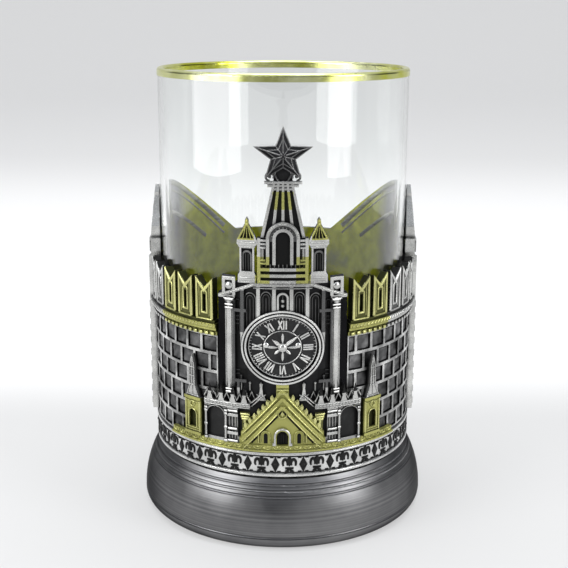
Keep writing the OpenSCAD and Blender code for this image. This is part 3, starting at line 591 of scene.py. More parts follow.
def star_collar():
    """Scrolls and a moulded collar between the tent roof and the star."""
    work, scrolls = bmesh.new(), bmesh.new()
    face = on_sleeve(ROOF_R)
    foot = STAR_LOW.z - 2.9
    scroll_x, scroll_z = 3.3, foot + 3.3
    for up, half_w, height in ((0, 2.8, 0.6), (0.8, 3.9, 0.8), (1.6, 4.7, 1.0)):
        block(work, face, 0, foot + up, half_w, 0.62, height)
    for side in SIDES:
        curl = [(side * (scroll_x + x), scroll_z + z) for x, z in arc(0, 0, 1.0, 1.0, -90, 200, 14)]
        moulding(scrolls, face, curl, 0.5, 0.9)
        bead(scrolls, face, side * scroll_x, scroll_z, 0.42, 0.9)
        moulding(scrolls, face, line((side * 1.2, foot + 2.3), (side * 2.4, foot + 4.5)), 0.5, 0.8)
    finish_piece("star_collar", work, "roof_metal")
    finish_piece("star_scrolls", scrolls, "star_line_metal")


# Clock face, with a minute ring and Roman numerals

DIAL_HALF_W = (high_corner("clock_dial").x - low_corner("clock_dial").x) / 2
DIAL_HALF_H = (high_corner("clock_dial").z - low_corner("clock_dial").z) / 2
DIAL_R = GROUND_R + JOINT
HANDS_R = DIAL_R + 0.35 + JOINT + 0.3
DIAL_SIDES = 96
# Shares of the dial's radius, and the height of its ground there
DIAL_SHAPE = ((1.0, 0.0), (1.0, 0.3), (0.97, 0.36), (0.9, 0.34), (0.75, 0.34), (0.6, 0.34), (0.45, 0.35),
              (0.3, 0.36), (0.15, 0.37), (0.04, 0.375))
NUMERALS = ("XII", "I", "II", "III", "IV", "V", "VI", "VII", "VIII", "IX", "X", "XI")
STROKES = {"I": (0.62, [((0, 0), (0, 1))]),
           "V": (1.15, [((-0.42, 1), (0, 0)), ((0.42, 1), (0, 0))]),
           "X": (1.15, [((-0.42, 1), (0.42, 0)), ((0.42, 1), (-0.42, 0))])}


def clock_numerals(work, top):
    widen = DIAL_HALF_W / DIAL_HALF_H
    for hour, numeral in enumerate(NUMERALS):
        x = -sum(STROKES[letter][0] for letter in numeral) / 2
        turn = radians(30 * hour)
        for letter in numeral:
            width, strokes = STROKES[letter]
            for stroke in strokes:
                path = []
                for a, b in stroke:
                    across, up = (x + width / 2 + a * width) * 0.92, DIAL_HALF_H * (0.57 + 0.28 * b)
                    path.append(((up * sin(turn) + across * cos(turn)) * widen,
                                 CLOCK_Z + up * cos(turn) - across * sin(turn)))
                moulding(work, top, path, 0.46, 0.3, "flat")
            x += width


def clock_face():
    work = bmesh.new()
    face = on_sleeve(DIAL_R)
    rings = [[work.verts.new(face(DIAL_HALF_W * s * cos(2 * pi * k / DIAL_SIDES),
                                  CLOCK_Z + DIAL_HALF_H * s * sin(2 * pi * k / DIAL_SIDES), h))
              for k in range(DIAL_SIDES)] for s, h in DIAL_SHAPE]
    join_rings(work, rings)
    finish_piece("clock_ground", work, "dial_ground")
    work = bmesh.new()
    top = on_sleeve(DIAL_R + 0.34)
    for share, width in ((0.945, 0.34), (0.52, 0.3)):
        ring = arc(0, CLOCK_Z, DIAL_HALF_W * share, DIAL_HALF_H * share, 0, 357, 119)
        moulding(work, top, ring, width, 0.2, closed=True)
    for minute in range(60):
        a = radians(6 * minute)
        path = [(DIAL_HALF_W * s * sin(a), CLOCK_Z + DIAL_HALF_H * s * cos(a)) for s in (0.885, 0.935)]
        moulding(work, top, path, 0.3 if minute % 5 == 0 else 0.14, 0.16, "flat")
    clock_numerals(work, top)
    # A rosette of eight petals and two bright studs round the middle
    for k in range(8):
        a, reach = radians(45 * k), 1.15 if k % 2 == 0 else 0.8
        moulding(work, top, [(3.4 * s * reach * sin(a), CLOCK_Z + 3.0 * s * reach * cos(a))
                             for s in (0.3, 0.6, 0.85, 1.05)], 0.8, 0.2, ends=0.3)
    for x in (-4.3, 4.0):
        bead(work, top, x, CLOCK_Z + 0.5, 0.75, 0.34)
    piece = finish_piece("clock_numerals", work, "dial_metal")
    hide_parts("clock_dial")


def clock_hand_details():
    work = bmesh.new()
    face = on_sleeve(HANDS_R)
    bead(work, face, 0, CLOCK_Z, 0.85, 0.3)
    for turn, reach in ((-52, 3.0), (52, 4.8)):
        a = radians(turn)
        moulding(work, face, [(r * sin(a), CLOCK_Z + r * cos(a)) for r in (1.0, reach * 0.6, reach)],
                 0.3, 0.1, ends=0.5)
    finish_piece("clock_hand_ridges", work, "dial_metal")


# Tower front: columns, lancet windows and the panels beside the clock

COLUMN_X = 13.7
TRIANGLE = ((4.2, 0), (6.8, 0), (6.0, 1.6), (5.9, 2.6), (5.5, 5.1), (5.1, 2.6), (5.0, 1.6))
# Left and right edge and crown of each window right of the middle
LANCETS = ((2.65, 5.75, 69.6), (6.65, 9.85, 69.2), (10.75, 12.2, 67.4))


def tower_dressing():
    work = bmesh.new()
    foot, gable = WALL_Z + 17, LEDGE_TOP + 12.2
    clock_top, clock_foot = CLOCK_Z + 9.8, CLOCK_Z - 9.8
    over = on_sleeve(GROUND_R + 0.9)
    for side in SIDES:
        x = side * COLUMN_X
        uprights(work, GROUND, [x], foot - 1.2, EAVES - 0.4, 1.9, 1.55)
        for z, half_w, high in ((foot - 1.4, 1.25, 0.6), (foot - 0.5, 1.1, 0.4), (EAVES - 3.3, 1.1, 0.4),
                                (EAVES - 2.5, 1.2, 0.45), (EAVES - 1.2, 1.3, 0.6)):
            block(work, GROUND, x, z, half_w, high, 1.75)
        bead(work, FRONT, x, EAVES + 2.5, 1.0, 0.45)
        bead(work, GROUND, side * 15.5, foot + 1.5, 0.5, 1.1)
        levels = (clock_top - 2.0, clock_top - 3.0, clock_top - 4.0, clock_foot + 2.2, clock_foot + 3.2)
        rails(work, GROUND, (side * 10.9, side * 12.1), levels, 0.42, 0.4)
        for x, high in ((8.4, 1.4), (10.6, 3.2)):
            uprights(work, GROUND, [side * x], foot - 0.6, foot + high, 0.55, 0.6)
            bead(work, GROUND, side * x, foot + high, 0.42, 0.7)
        for left, right, top in LANCETS:
            middle, half = (left + right) / 2, (right - left) / 2
            rise = top - 1.1 * half
            low = clock_top - 0.9 * (middle / 11) ** 2 * 9
            for inset, width, high in ((0.15, 0.36, 0.5), (0.75, 0.26, 0.35)):
                if half - inset >= 0.5:
                    opening = arch(middle, half - inset, max(low, CLOCK_Z + 3), rise, (half - inset) * 1.2)
                    moulding(work, GROUND, [(side * a, b) for a, b in opening], width, high)
            uprights(work, GROUND, [side * middle], max(low, CLOCK_Z + 4), rise, 0.3, 0.3)
        moulding(work, FRONT, line((side * 16.2, EAVES - 0.2), (side * 7.4, CORNICE_Z)), 0.34, 0.3)
        rails(work, GROUND, (side * 16.0, side * 13.2), [EAVES - 2.1], 0.3, 0.5)
        plate(work, GROUND, [(side * a, gable + b) for a, b in TRIANGLE], 1.0)
        for a, b in ((4.3, 6.7), (6.7, 4.3)):
            moulding(work, over, line((side * a, gable + 0.2), (side * b, gable + 1.7)), 0.28, 0.3)
        for drop in (0, 0.9):
            moulding(work, FRONT, line((side * 8.9, gable - 1.9 + drop), (side * 7.9, gable - 1.5 + drop),
                                       (side * 5.6, gable + 0.7 + drop)), 0.46, 0.5)
        zigzag = [(side * (7.2 + 0.75 * k), gable + (2.1 if k % 2 else 0.4)) for k in range(5)]
        moulding(work, GROUND, zigzag, 0.42, 0.7)
    rails(work, FRONT, (-7.4, 7.4), (CORNICE_Z - 0.9, CORNICE_Z), 0.3, 0.3)
    for z in (65.9, 67.2):
        bead(work, GROUND, 0, z, 0.62, 0.6)
    moulding(work, GROUND, [(0, 67.6), (0, 69.0)], 0.7, 0.5, ends=0.3)
    finish_piece("tower_mouldings", work, "tower_metal")


# Belfry and pinnacles

BELFRY_COLUMN_X, PINNACLE_X = 5.15, 8.98


def belfry_dressing():
    work = bmesh.new()
    ground, front = layers(TOWER_TOP)[:2]
    carved, crown = on_sleeve(GROUND_R + 0.45, foot=TOWER_TOP), on_sleeve(GROUND_R + 0.42, foot=TOWER_TOP)
    top = SPIRE_Z - TOWER_TOP
    for side in SIDES:
        x, centre = side * BELFRY_COLUMN_X, side * PINNACLE_X
        for z, half_w in ((4.9, 0.95), (5.7, 0.8), (top - 2.6, 0.8), (top - 1.7, 0.9), (top - 0.8, 1.0)):
            block(work, ground, x, z, half_w, 0.5, 0.8)
        uprights(work, ground, [x], 6.2, top - 2.6, 0.9, 0.7)
        uprights(work, carved, pair(x, 0.32), 6.3, top - 2.7, 0.2, 0.35)
        rails(work, front, pair(centre, 2.1), (0.4, 1.4, 9.3, 10.4), 0.3, 0.22)
        for offset in (-1.0, 0, 1.0):
            moulding(work, front, [(centre + offset, 11.3), (centre + offset * 0.3, 14.2)], 0.24, 0.2)
        uprights(work, ground, pair(centre, 0.35), 2.6, 7.4, 0.24, 0.3)
        bead(work, front, centre, 14.9, 0.4, 0.25)
        bead(work, front, centre, 15.8, 0.3, 0.2)
    for k in range(-5, 6):
        uprights(work, ground, [k * 1.05], 3.9, 4.9, 0.34, 0.5)
        bead(work, front, k * 1.15, 0.4, 0.26, 0.2)
    for x in (-1.6, 0, 1.6):
        uprights(work, ground, [x], 5.0, top + 0.6 - abs(x) * 0.5, 0.24, 0.25)
    moulding(work, front, arc(0, top - 0.1, 3.8, 3.8, 0, 180, 18), 0.3, 0.25)
    for ray in zip(arc(0, top, 2.2, 2.3, 10, 170, 8), arc(0, top, 2.9, 3.0, 10, 170, 8)):
        moulding(work, crown, ray, 0.3, 0.3)
    finish_piece("belfry_mouldings", work, "belfry_metal")


def window_shadows():
    """Dark plates behind the windows of the tower, belfry and pinnacles: painted shade in the openings."""
    work = bmesh.new()

    def window(x, half_w, z0, z1, height=0.08):
        crown = arc(x, z1 - half_w, half_w, half_w, 0, 180, 10)
        plate(work, GROUND, [(x - half_w, z0), (x + half_w, z0)] + crown, height, 0.05)

    window(0, 2.55, TOWER_TOP + 4.9, SPIRE_Z + 2.3, 0.48)
    for side in SIDES:
        window(side * PINNACLE_X, 0.8, TOWER_TOP + 2.6, TOWER_TOP + 8.2)
        for middle, half_w, z1 in ((4.2, 1.5, 69.7), (8.25, 1.5, 69.3), (11.5, 0.65, 67.4)):
            window(side * middle, half_w, CLOCK_Z + 5.0, z1)
    finish_piece("window_shadows", work, "shadow_black")


star_ridges()
star_collar()
window_shadows()
clock_face()
clock_hand_details()
tower_dressing()
belfry_dressing()


# Walls: rock-faced stones, borders on the merlons, dentils and a twisted cord under them

COURSES = 6
COURSE_H = (high_corner("brickwork_front_left").z - WALL_Z) / COURSES
MORTAR = 0.8
STONE_SHARES = (-1.0, -0.8, -0.25, 0.3, 0.82, 1.0)


def turn_at(half_w, radius):
    return degrees(asin(half_w / radius))


# Start and end of the brickwork in degrees from the front, and its bricks in a course
SIDE_TURN, BACK_TURN = turn_at(SIDE_HALF_W + JOINT, LAYER1_IN), turn_at(BACK_HALF_W + JOINT, LAYER1_IN)
FRONT_FIELD = (turn_at(TOWER_HALF_W + JOINT, LAYER1_IN), 90 - SIDE_TURN, 6.5)
REAR_FIELD = (90 + SIDE_TURN, 180 - BACK_TURN, 8.5)


def stone(work, lay, half_w, z0, z1, height, rand):
    """A stone with a rough face, set in its course between the mortar lines."""
    rows = []
    last = len(STONE_SHARES) - 1
    middle, half_h = (z0 + z1) / 2, (z1 - z0) / 2
    for i, v in enumerate(STONE_SHARES):
        row = []
        for j, u in enumerate(STONE_SHARES):
            rim = i in (0, last) or j in (0, last)
            shift = 0.0 if rim else 0.09
            h = -SINK if rim else height * rand.uniform(0.55, 1.0)
            row.append(work.verts.new(lay(half_w * u + rand.uniform(-shift, shift),
                                          middle + half_h * v + rand.uniform(-shift, shift), h)))
        rows.append(row)
    for a, b in zip(rows, rows[1:]):
        for j in range(last):
            work.faces.new((a[j], a[j + 1], b[j + 1], b[j]))


def wall_stones():
    rand = random.Random(11)
    gap = turn_at(MORTAR, GROUND_R)
    for name, (start, end, bricks) in (("front", FRONT_FIELD), ("rear", REAR_FIELD)):
        work = bmesh.new()
        pitch = (end - start) / bricks
        for side in SIDES:
            # A field is laid from its own left edge, so the two sides aren't mirror images
            low = start if side > 0 else -end
            for row in range(COURSES):
                for i in range(int(bricks) + 1):
                    odd = row % 2
                    left = low + (max(i - 0.5, 0) if odd else i) * pitch
                    right = low + (i + 0.5 if odd else min(i + 1, bricks)) * pitch
                    half_w = GROUND_R * sin(radians((right - left - gap) / 2))
                    z = WALL_Z + row * COURSE_H
                    stone(work, on_sleeve(SHELL_OUT, (left + right) / 2), half_w, z + MORTAR / 2,
                          z + COURSE_H - MORTAR / 2, 0.42, rand)
        finish_piece("stones_" + name, work, "stone_metal", crease=12)


def merlon_turns():
    first = turn_at(TOWER_HALF_W + JOINT, SHELL_IN) + turn_at(2.7, GROUND_R) + 0.6
    last = 90 - turn_at(SIDE_HALF_W + JOINT, SHELL_IN) - turn_at(2.7, GROUND_R) - 1.6
    return [first + (last - first) * i / 4 for i in range(5)]


def merlon_borders():
    work = bmesh.new()
    foot, top = SLEEVE_TOP + 1.1, BATTLEMENT_TOP - 0.7
    notch = BATTLEMENT_TOP - (BATTLEMENT_TOP - SLEEVE_TOP) * 0.24 - 0.45
    low, high = SLEEVE_TOP + 2.5, SLEEVE_TOP + 8.0
    border = [(-2.36, foot), (-2.36, top), (0, notch), (2.36, top), (2.36, foot)]
    slit = [(-0.85, low), (0.85, low), (0.85, high), (0, high + 0.7), (-0.85, high)]
    for side in SIDES:
        for turn in merlon_turns():
            face = on_sleeve(BATTLEMENT_R, side * turn)
            moulding(work, face, border, 0.85, 0.3, "flat")
            moulding(work, face, slit, 0.5, 0.2, closed=True)
            rails(work, face, (-2.5, 2.5), [foot - 0.2], 0.5, 0.35)
            uprights(work, face, (-1.6, 1.6), foot + 0.6, top - 1.3, 0.24, 0.14)
    finish_piece("merlon_borders", work, "wall_edge_metal")


def cornice_details():
    dentils, cord = bmesh.new(), bmesh.new()
    low, high = round_sleeve(GROUND_R + 0.22), round_sleeve(BOLD_R)
    for start, end in (FRONT_FIELD[:2], REAR_FIELD[:2]):
        for side in SIDES:
            for work, radius, pitch in ((dentils, GROUND_R, 1.75), (cord, BOLD_R, 1.15)):
                a, b = radians(start + 0.6) * radius, radians(end - 0.6) * radius
                count = int((b - a) / pitch)
                for k in range(count):
                    x = side * (a + (k + 0.5) * (b - a) / count)
                    if work is dentils:
                        block(work, low, x, SLEEVE_TOP - 3.23, 0.5, 0.8, 0.55, 0.1)
                    else:
                        twist = [(x - 0.3, SLEEVE_TOP - 0.82), (x + 0.3, SLEEVE_TOP - 0.2)]
                        moulding(work, high, twist, 0.42, 0.2)
    finish_piece("cornice_dentils", dentils, "wall_edge_metal")
    finish_piece("cornice_cord", cord, "wall_edge_metal")


# Ribbon: a running scroll with leaves, dark on the plated ground

RIBBON_UNITS = 58


def ribbon_frieze():
    work, edges = bmesh.new(), bmesh.new()
    face = round_sleeve(GROUND_R)
    middle = (RIBBON_Z + RIBBON_TOP) / 2
    reach = radians(180 - BACK_TURN - 1.2) * GROUND_R
    pitch = 2 * reach / RIBBON_UNITS
    for k in range(RIBBON_UNITS):
        x = -reach + (k + 0.5) * pitch
        if k % 2:
            plate(work, face, leaf(x, middle - 0.5, 2.9, 1.8, 90), 0.26)
            block(work, face, x, middle - 1.25, 1.1, 0.5, 0.24, 0.12)
            for side in SIDES:
                curl = arc(x + side * 1.1, middle + 0.35, 0.62, 1.1, 90 + side * 120, 90 - side * 130)
                moulding(work, face, curl, 0.8, 0.26, ends=0.6)
                plate(work, face, leaf(x, middle - 1.3, 1.8, 1.0, -90 + side * 48), 0.24, 0.1)
        else:
            lozenge = [(x - 1.1, middle), (x, middle - 2.2), (x + 1.1, middle), (x, middle + 2.2)]
            plate(work, face, lozenge, 0.26, 0.2)
            bead(work, on_sleeve(GROUND_R + 0.2, degrees(x / GROUND_R)), 0, middle, 0.42, 0.25)
            for side in SIDES:
                for centre in pair(x, 0.95):
                    rails(work, face, pair(centre, 0.45), [middle + side * 2.0], 0.5, 0.22)
    for z, inset in ((RIBBON_Z + 0.45, 0.62), (RIBBON_TOP - 0.45, -0.62)):
        ring = [(-reach + 2 * reach * k / 90, z) for k in range(91)]
        moulding(edges, face, ring, 0.62, 0.35)
        moulding(work, face, [(x, z + inset) for x, z in ring], 0.3, 0.12, "flat")
    finish_piece("ribbon_scroll", work, "inlay_metal")
    finish_piece("ribbon_edges", edges, "ribbon_metal")


# Gate porch, ledge, arcades and turrets

PIER_X, BUTTRESS_X, BLIND_X = 13, 9.7, 4.35


def porch_dressing():
    gilt, plain = bmesh.new(), bmesh.new()
    ground, front, bold = layers(PORCH_Z)
    for side in SIDES:
        pier, buttress, blind = side * PIER_X, side * BUTTRESS_X, side * BLIND_X
        for drop in (0, 2.2, 4.4):
            moulding(gilt, bold, line((side * 10.4, 2.9 - drop), (side * 1.4, 13.0 - drop)), 0.34, 0.22)
        for i in range(6):
            x = 9.0 - 1.35 * i
            bead(gilt, front, side * x, 0.3 + (9.55 - x) * 1.12, 0.33, 0.3)
        for z, half_w in ((0.25, 1.35), (3.6, 1.2), (8.5, 1.3), (9.4, 1.4)):
            block(plain, front, pier, z, half_w, 0.55, 0.75)
        for x in (pier - 0.75, pier, pier + 0.75):
            uprights(plain, front, [x], 1.1, 3.2, 0.34, 0.4)
            uprights(plain, front, [x], 4.5, 8.2, 0.34, 0.4)
        uprights(gilt, ground, [buttress], 0, 7.4, 1.4, 1.1)
        plate(gilt, ground, [(side * 10.5, 3), (side * 10.5, 7.4), (side * 6.6, 7.4)], 0.4)
        for i in range(7):
            x, z = side * (9.6 - 1.15 * i), 4.3 + 1.29 * i
            plate(gilt, front, leaf(x, z, 1.9, 1.0, 90), 0.55, 0.1)
            bead(gilt, front, x + side * 0.55, z - 0.1, 0.34, 0.45)
        for z, half_w in ((6.6, 0.9), (7.2, 1.1), (7.9, 1.25)):
            block(gilt, ground, buttress, z, half_w, 0.5, 1.2)
        uprights(gilt, front, [side * 6.2], 0.5, 3.8, 0.5, 0.35)
        moulding(gilt, front, arc(blind, 2.7, 1.2, 1.2, 0, 180), 0.34, 0.35)
        uprights(gilt, front, pair(blind, 1.2), 0.5, 2.7, 0.34, 0.35)
        block(plain, bold, side * 2.1, 0, 0.45, 0.8, 0.3)
    moulding(gilt, front, arc(0, 8.6, 1.15, 1.15, 0, 345, 20), 0.42, 0.4, closed=True)
    plate(gilt, front, [(0, 7.9), (0.5, 8.6), (0, 9.3), (-0.5, 8.6)], 0.35)
    rails(gilt, bold, (-1.5, 1.5), (14.3, 15.3), 0.34, 0.22)
    moulding(plain, bold, arch(0, 1.95, 0.6, 2.6, 1.95, 14, neck=0.1), 0.62, 0.35)
    moulding(plain, ground, arc(0, 2.5, 1.15, 1.15, 0, 180), 0.3, 0.7)
    for x, top in ((-1.05, 2.4), (-0.35, 3.0), (0.35, 3.0), (1.05, 2.4)):
        uprights(plain, ground, [x], 0.1, top, 0.5, 0.35)
    finish_piece("porch_mouldings", gilt, "gilt_edge_metal")
    finish_piece("porch_doorway", plain, "bold_metal")


def porch_shadows():
    """Painted shade: dark lines under the gable and dark fields in its blind windows."""
    work = bmesh.new()
    front = layers(PORCH_Z)[1]
    for side in SIDES:
        moulding(work, front, line((side * 8.1, 0.4), (side * 0.2, 9.3)), 0.6, 0.1, "flat")
        crown = arc(side * BLIND_X, 2.6, side * 0.5, 0.6, 0, 180, 8)
        plate(work, front, [(side * 3.85, 0.4), (side * 4.85, 0.4)] + crown, 0.1, 0.04)
    finish_piece("porch_shadows", work, "shadow_black")


def ledge_scallops():
    work = bmesh.new()
    face = round_sleeve(LEDGE_R)
    count, reach = 26, radians(52) * LEDGE_R
    for k in range(count):
        x = -reach + (k + 0.5) * 2 * reach / count
        moulding(work, face, arc(x, WALL_Z + 1.55, 1.05, 0.85, 180, 360, 8), 0.3, 0.25)
        bead(work, face, x, WALL_Z + 1.35, 0.26, 0.25)
    finish_piece("ledge_scallops", work, "gilt_edge_metal")


def arcade_dressing():
    work = bmesh.new()
    crest, bold, inner = (on_sleeve(radius, foot=PORCH_Z) for radius in (CREST_R, BOLD_R, FRONT_R + 0.3))
    near, far, top = 8.4, high_corner("parapet_right").x, 11.4
    teeth = 2 * round((far - near) / 1.7)
    tooth = (far - near) / teeth
    for side in SIDES:
        rails(work, crest, (side * (near + 0.1), side * (far - 0.2)), (top - 1.2, top - 0.2), 0.26, 0.2)
        for k in range(14):
            bead(work, crest, side * (near + 0.5 + k * (far - near - 1) / 13), top - 0.7, 0.24, 0.2)
        zigzag = [(side * (near + k * tooth), top + (2.3 if k % 2 else 0.5)) for k in range(teeth + 1)]
        moulding(work, bold, zigzag, 0.46, 0.4)
        centre = side * (14.45 + far) / 2
        for x in pair(centre, 2.65):
            uprights(work, inner, [x], 0.9, 8.0, 0.62, 0.5)
            for z in (0.1, 3.9, 7.6, 8.4):
                block(work, inner, x, z, 0.42, 0.55, 0.62, 0.1)
        moulding(work, inner, arc(centre, 7.1, 2.45, 2.45, 165, 15, 14), 0.4, 0.4)
    finish_piece("arcade_mouldings", work, "bold_metal")


TURRET_TURN = 39.5
# A ridge of the turret's roof: distance from the middle and height
ROOF_RIDGE = ((2.1, 10.7), (0.85, 13.8), (0.6, 19.2), (0.1, 21.6))


def turret_dressing():
    gilt, plain = bmesh.new(), bmesh.new()
    for side in SIDES:
        face = on_sleeve(BOLD_R, side * TURRET_TURN, PORCH_Z)
        moulding(gilt, face, arch(0, 1.45, 2.0, 5.7, 1.45, 12, neck=0.1), 0.4, 0.3)
        moulding(gilt, face, arc(0, 8.6, 0.75, 0.75, 0, 340, 14), 0.36, 0.3, closed=True)
        uprights(gilt, face, (-2.45, 2.45), 1.0, 9.6, 0.5, 0.3)
        rails(gilt, face, (-2.6, 2.6), (1.3, 1.9, 9.2), 0.26, 0.25)
        for x in (-1.0, 0, 1.0):
            moulding(plain, face, [(x * share, z) for share, z in ROOF_RIDGE], 0.34, 0.22)
        for z, half_w in ((11.0, 2.1), (13.9, 0.95), (16.3, 0.8), (18.7, 0.72)):
            rails(plain, face, (-half_w, half_w), [z], 0.34, 0.25)
        bead(plain, face, 0, 20.3, 0.36, 0.2)
    finish_piece("turret_mouldings", gilt, "gilt_edge_metal")
    finish_piece("turret_roof_ridges", plain, "bold_metal")


# Side towers, the back, and the handle

def side_tower_dressing():
    work = bmesh.new()
    crown = SLEEVE_TOP + (high_corner("side_tower_right").z - SLEEVE_TOP) * 0.38 - WALL_Z
    for turn in (-90, 90):
        face, bold = (on_sleeve(radius, turn, WALL_Z) for radius in (SIDE_TOWER_R, SIDE_TOWER_R + LAYER))
        rails(work, face, (-4.3, 4.3), (1.0, 1.7, 9.5, 10.2, 20, 20.7), 0.36, 0.4)
        for z, height in ((2.6, 5.2), (11.5, 6.8), (22, 6.4)):
            for x in (-2.1, 2.1):
                moulding(work, face, arch(x, 0.95, z, z + height - 1.2, 1.1, neck=0), 0.3, 0.3)
                uprights(work, face, [x], z, z + height - 0.6, 0.2, 0.2)
                rails(work, face, pair(x, 1.2), [z - 0.2], 0.32, 0.36)
        for k in range(9):
            for x in (-4.8, 4.8):
                block(work, bold, x, 1.5 + k * 3.6, 0.36, 1.7, 0.2, 0.1)
        for k in range(-4, 5):
            moulding(work, face, arc(k * 1.15, crown - 1.5, 0.5, 0.9, 180, 0, 6), 0.24, 0.45)
            block(work, face, k * 1.3, crown + 1.9, 0.42, 2.0, 0.4, 0.12)
        rails(work, face, (-5.9, 5.9), (crown + 1.35, crown + 4.4), 0.4, 0.4)
    finish_piece("side_tower_mouldings", work, "side_metal")


def back_dressing():
    work = bmesh.new()
    strip, on_plate = on_sleeve(GROUND_R, 180, RIBBON_Z), on_sleeve(HANDLE_PLATE_R, 180)
    low, high = 0.6, high_corner("seam_strip").z - RIBBON_Z - 0.6
    for half_w, width in ((5.5, 0.5), (4.7, 0.26)):
        uprights(work, strip, pair(0, half_w), low, high, width, 0.32)
        rails(work, strip, pair(0, half_w), (low, high), width, 0.32)
    for middle in (19.5, 28.0, 36.5):
        for k, (x, z) in enumerate(arc(0, middle, 0.5, 0.5, 0, 315, 7)):
            plate(work, strip, leaf(x, z, 2.3 if k % 2 == 0 else 1.7, 1.0, 45 * k), 0.3, 0.12)
        bead(work, strip, 0, middle, 0.6, 0.4)
    for side in SIDES:
        for name in ("handle_plate_lower", "handle_plate_upper"):
            for z in pair(low_corner(name).z + 4.6, 3.55):
                bead(work, on_plate, side * 4.15, z, 0.5, 0.35)
    finish_piece("back_mouldings", work, "back_metal")


def rear_edge(turn, drop):
    start, end = 90 + turn_at(SIDE_TOWER_HALF_W + JOINT, SHELL_IN), 151
    share = max(0.0, min(1.0, (turn - start) / (end - start)))
    return SLEEVE_TOP + 12.2 + 19 * (1 - share ** 1.6) - drop


def rear_panel_dressing():
    work, lines = bmesh.new(), bmesh.new()
    face = round_sleeve(SHELL_OUT)
    limit = radians(179 - turn_at(BACK_HALF_W, GROUND_R)) * SHELL_OUT

    def inside(x, z, h):
        angle = x / SHELL_IN
        return Vector(((SHELL_IN - h) * sin(angle), -(SHELL_IN - h) * cos(angle), z)) * MM

    for side in SIDES:
        for drop, width in ((0.9, 0.7), (1.9, 0.3)):
            path = [(side * radians(t) * SHELL_OUT, rear_edge(t, drop)) for t in range(102, 180, 3)]
            moulding(work, face, [p for p in path if abs(p[0]) < limit], width, 0.4)
        for t in range(104, 168, 6):
            x, z = side * radians(t) * SHELL_OUT, rear_edge(t, 3.0)
            for length, turn in ((2.6, side * 35), (2.6, -side * 35), (3.4, 0)):
                plate(work, face, leaf(x, z, length, 1.3, turn - 90), 0.35)
            bead(work, face, x, z, 0.42, 0.45)
        path = [(side * radians(t) * SHELL_OUT, SLEEVE_TOP + 1.0) for t in range(102, 171, 3)]
        moulding(work, face, path, 0.6, 0.4)
        for drop, width, last in ((0.9, 1.3, 148), (3.2, 0.5, 148), (9.5, 1.1, 136)):
            path = [(side * radians(t) * SHELL_IN, rear_edge(t, drop)) for t in range(102, last, 3)]
            moulding(lines, inside, path, width, 0.18)
    finish_piece("rear_panel_border", work, "border_metal")
    finish_piece("rear_inner_scrolls", lines, "inner_line_metal")


def handle_dressing():
    work = bmesh.new()
    middle_z = (low_corner("handle_plate_lower").z + high_corner("handle_plate_upper").z) / 2
    start = HANDLE_PLATE_R + JOINT
    centre_y = start + 5
    radius = high_corner("handle_bow").y - centre_y
    rest = high_corner("thumb_rest")
    tip_y = rest.y - 5.6

    def on_bow(x, a, h):
        angle = a / radius
        return Vector((x, centre_y + (radius + h) * cos(angle), middle_z + (radius + h) * sin(angle))) * MM

    def on_rest(x, y, h):
        return Vector((x, y, rest.z + h)) * MM

    # The outermost point of the bow stays plain, so that nothing reaches further out than the bow itself
    for low, high in ((-94, -14), (14, 50)):
        for x in (-1.5, 1.5):
            moulding(work, on_bow, [(x, radians(a) * radius) for a in range(low, high + 1, 4)], 0.42, 0.3)
        for a in range(low + 3, high - 2, 5):
            bead(work, on_bow, 0, radians(a) * radius, 0.5, 0.32)
    for a in (-97, -12, 12, 51):
        moulding(work, on_bow, [(x, radians(a) * radius) for x in (-1.7, 1.7)], 0.6, 0.4)
    rim = [(-3.1, start + 0.7)] + arc(0, tip_y, 5.0, 5.0, 180, 0, 15) + [(3.1, start + 0.7)]
    moulding(work, on_rest, rim, 0.4, 0.25, closed=True)
    moulding(work, on_rest, [(0, start + 1.2), (0, tip_y - 4.7)], 0.5, 0.3, ends=0.4)
    for side in SIDES:
        for k in range(4):
            y = start + 2.0 + 2.0 * k
            vein = [(0, y), (side * 1.5, y + 1.1), (side * (2.6 + 0.2 * k), y + 2.4)]
            moulding(work, on_rest, vein, 0.3, 0.22)
    finish_piece("handle_mouldings", work, "handle_metal")


wall_stones()
merlon_borders()
cornice_details()
ribbon_frieze()
porch_dressing()
porch_shadows()
ledge_scallops()
arcade_dressing()
turret_dressing()
side_tower_dressing()
back_dressing()
rear_panel_dressing()
handle_dressing()


# Floor and backdrop

FLOOR_HALF_W, FLOOR_FRONT, BEND_Y, BEND_R, BACKDROP_TOP = 3000, -1500, 1500, 600, 2400
BACKDROP_GLOW = 0.62


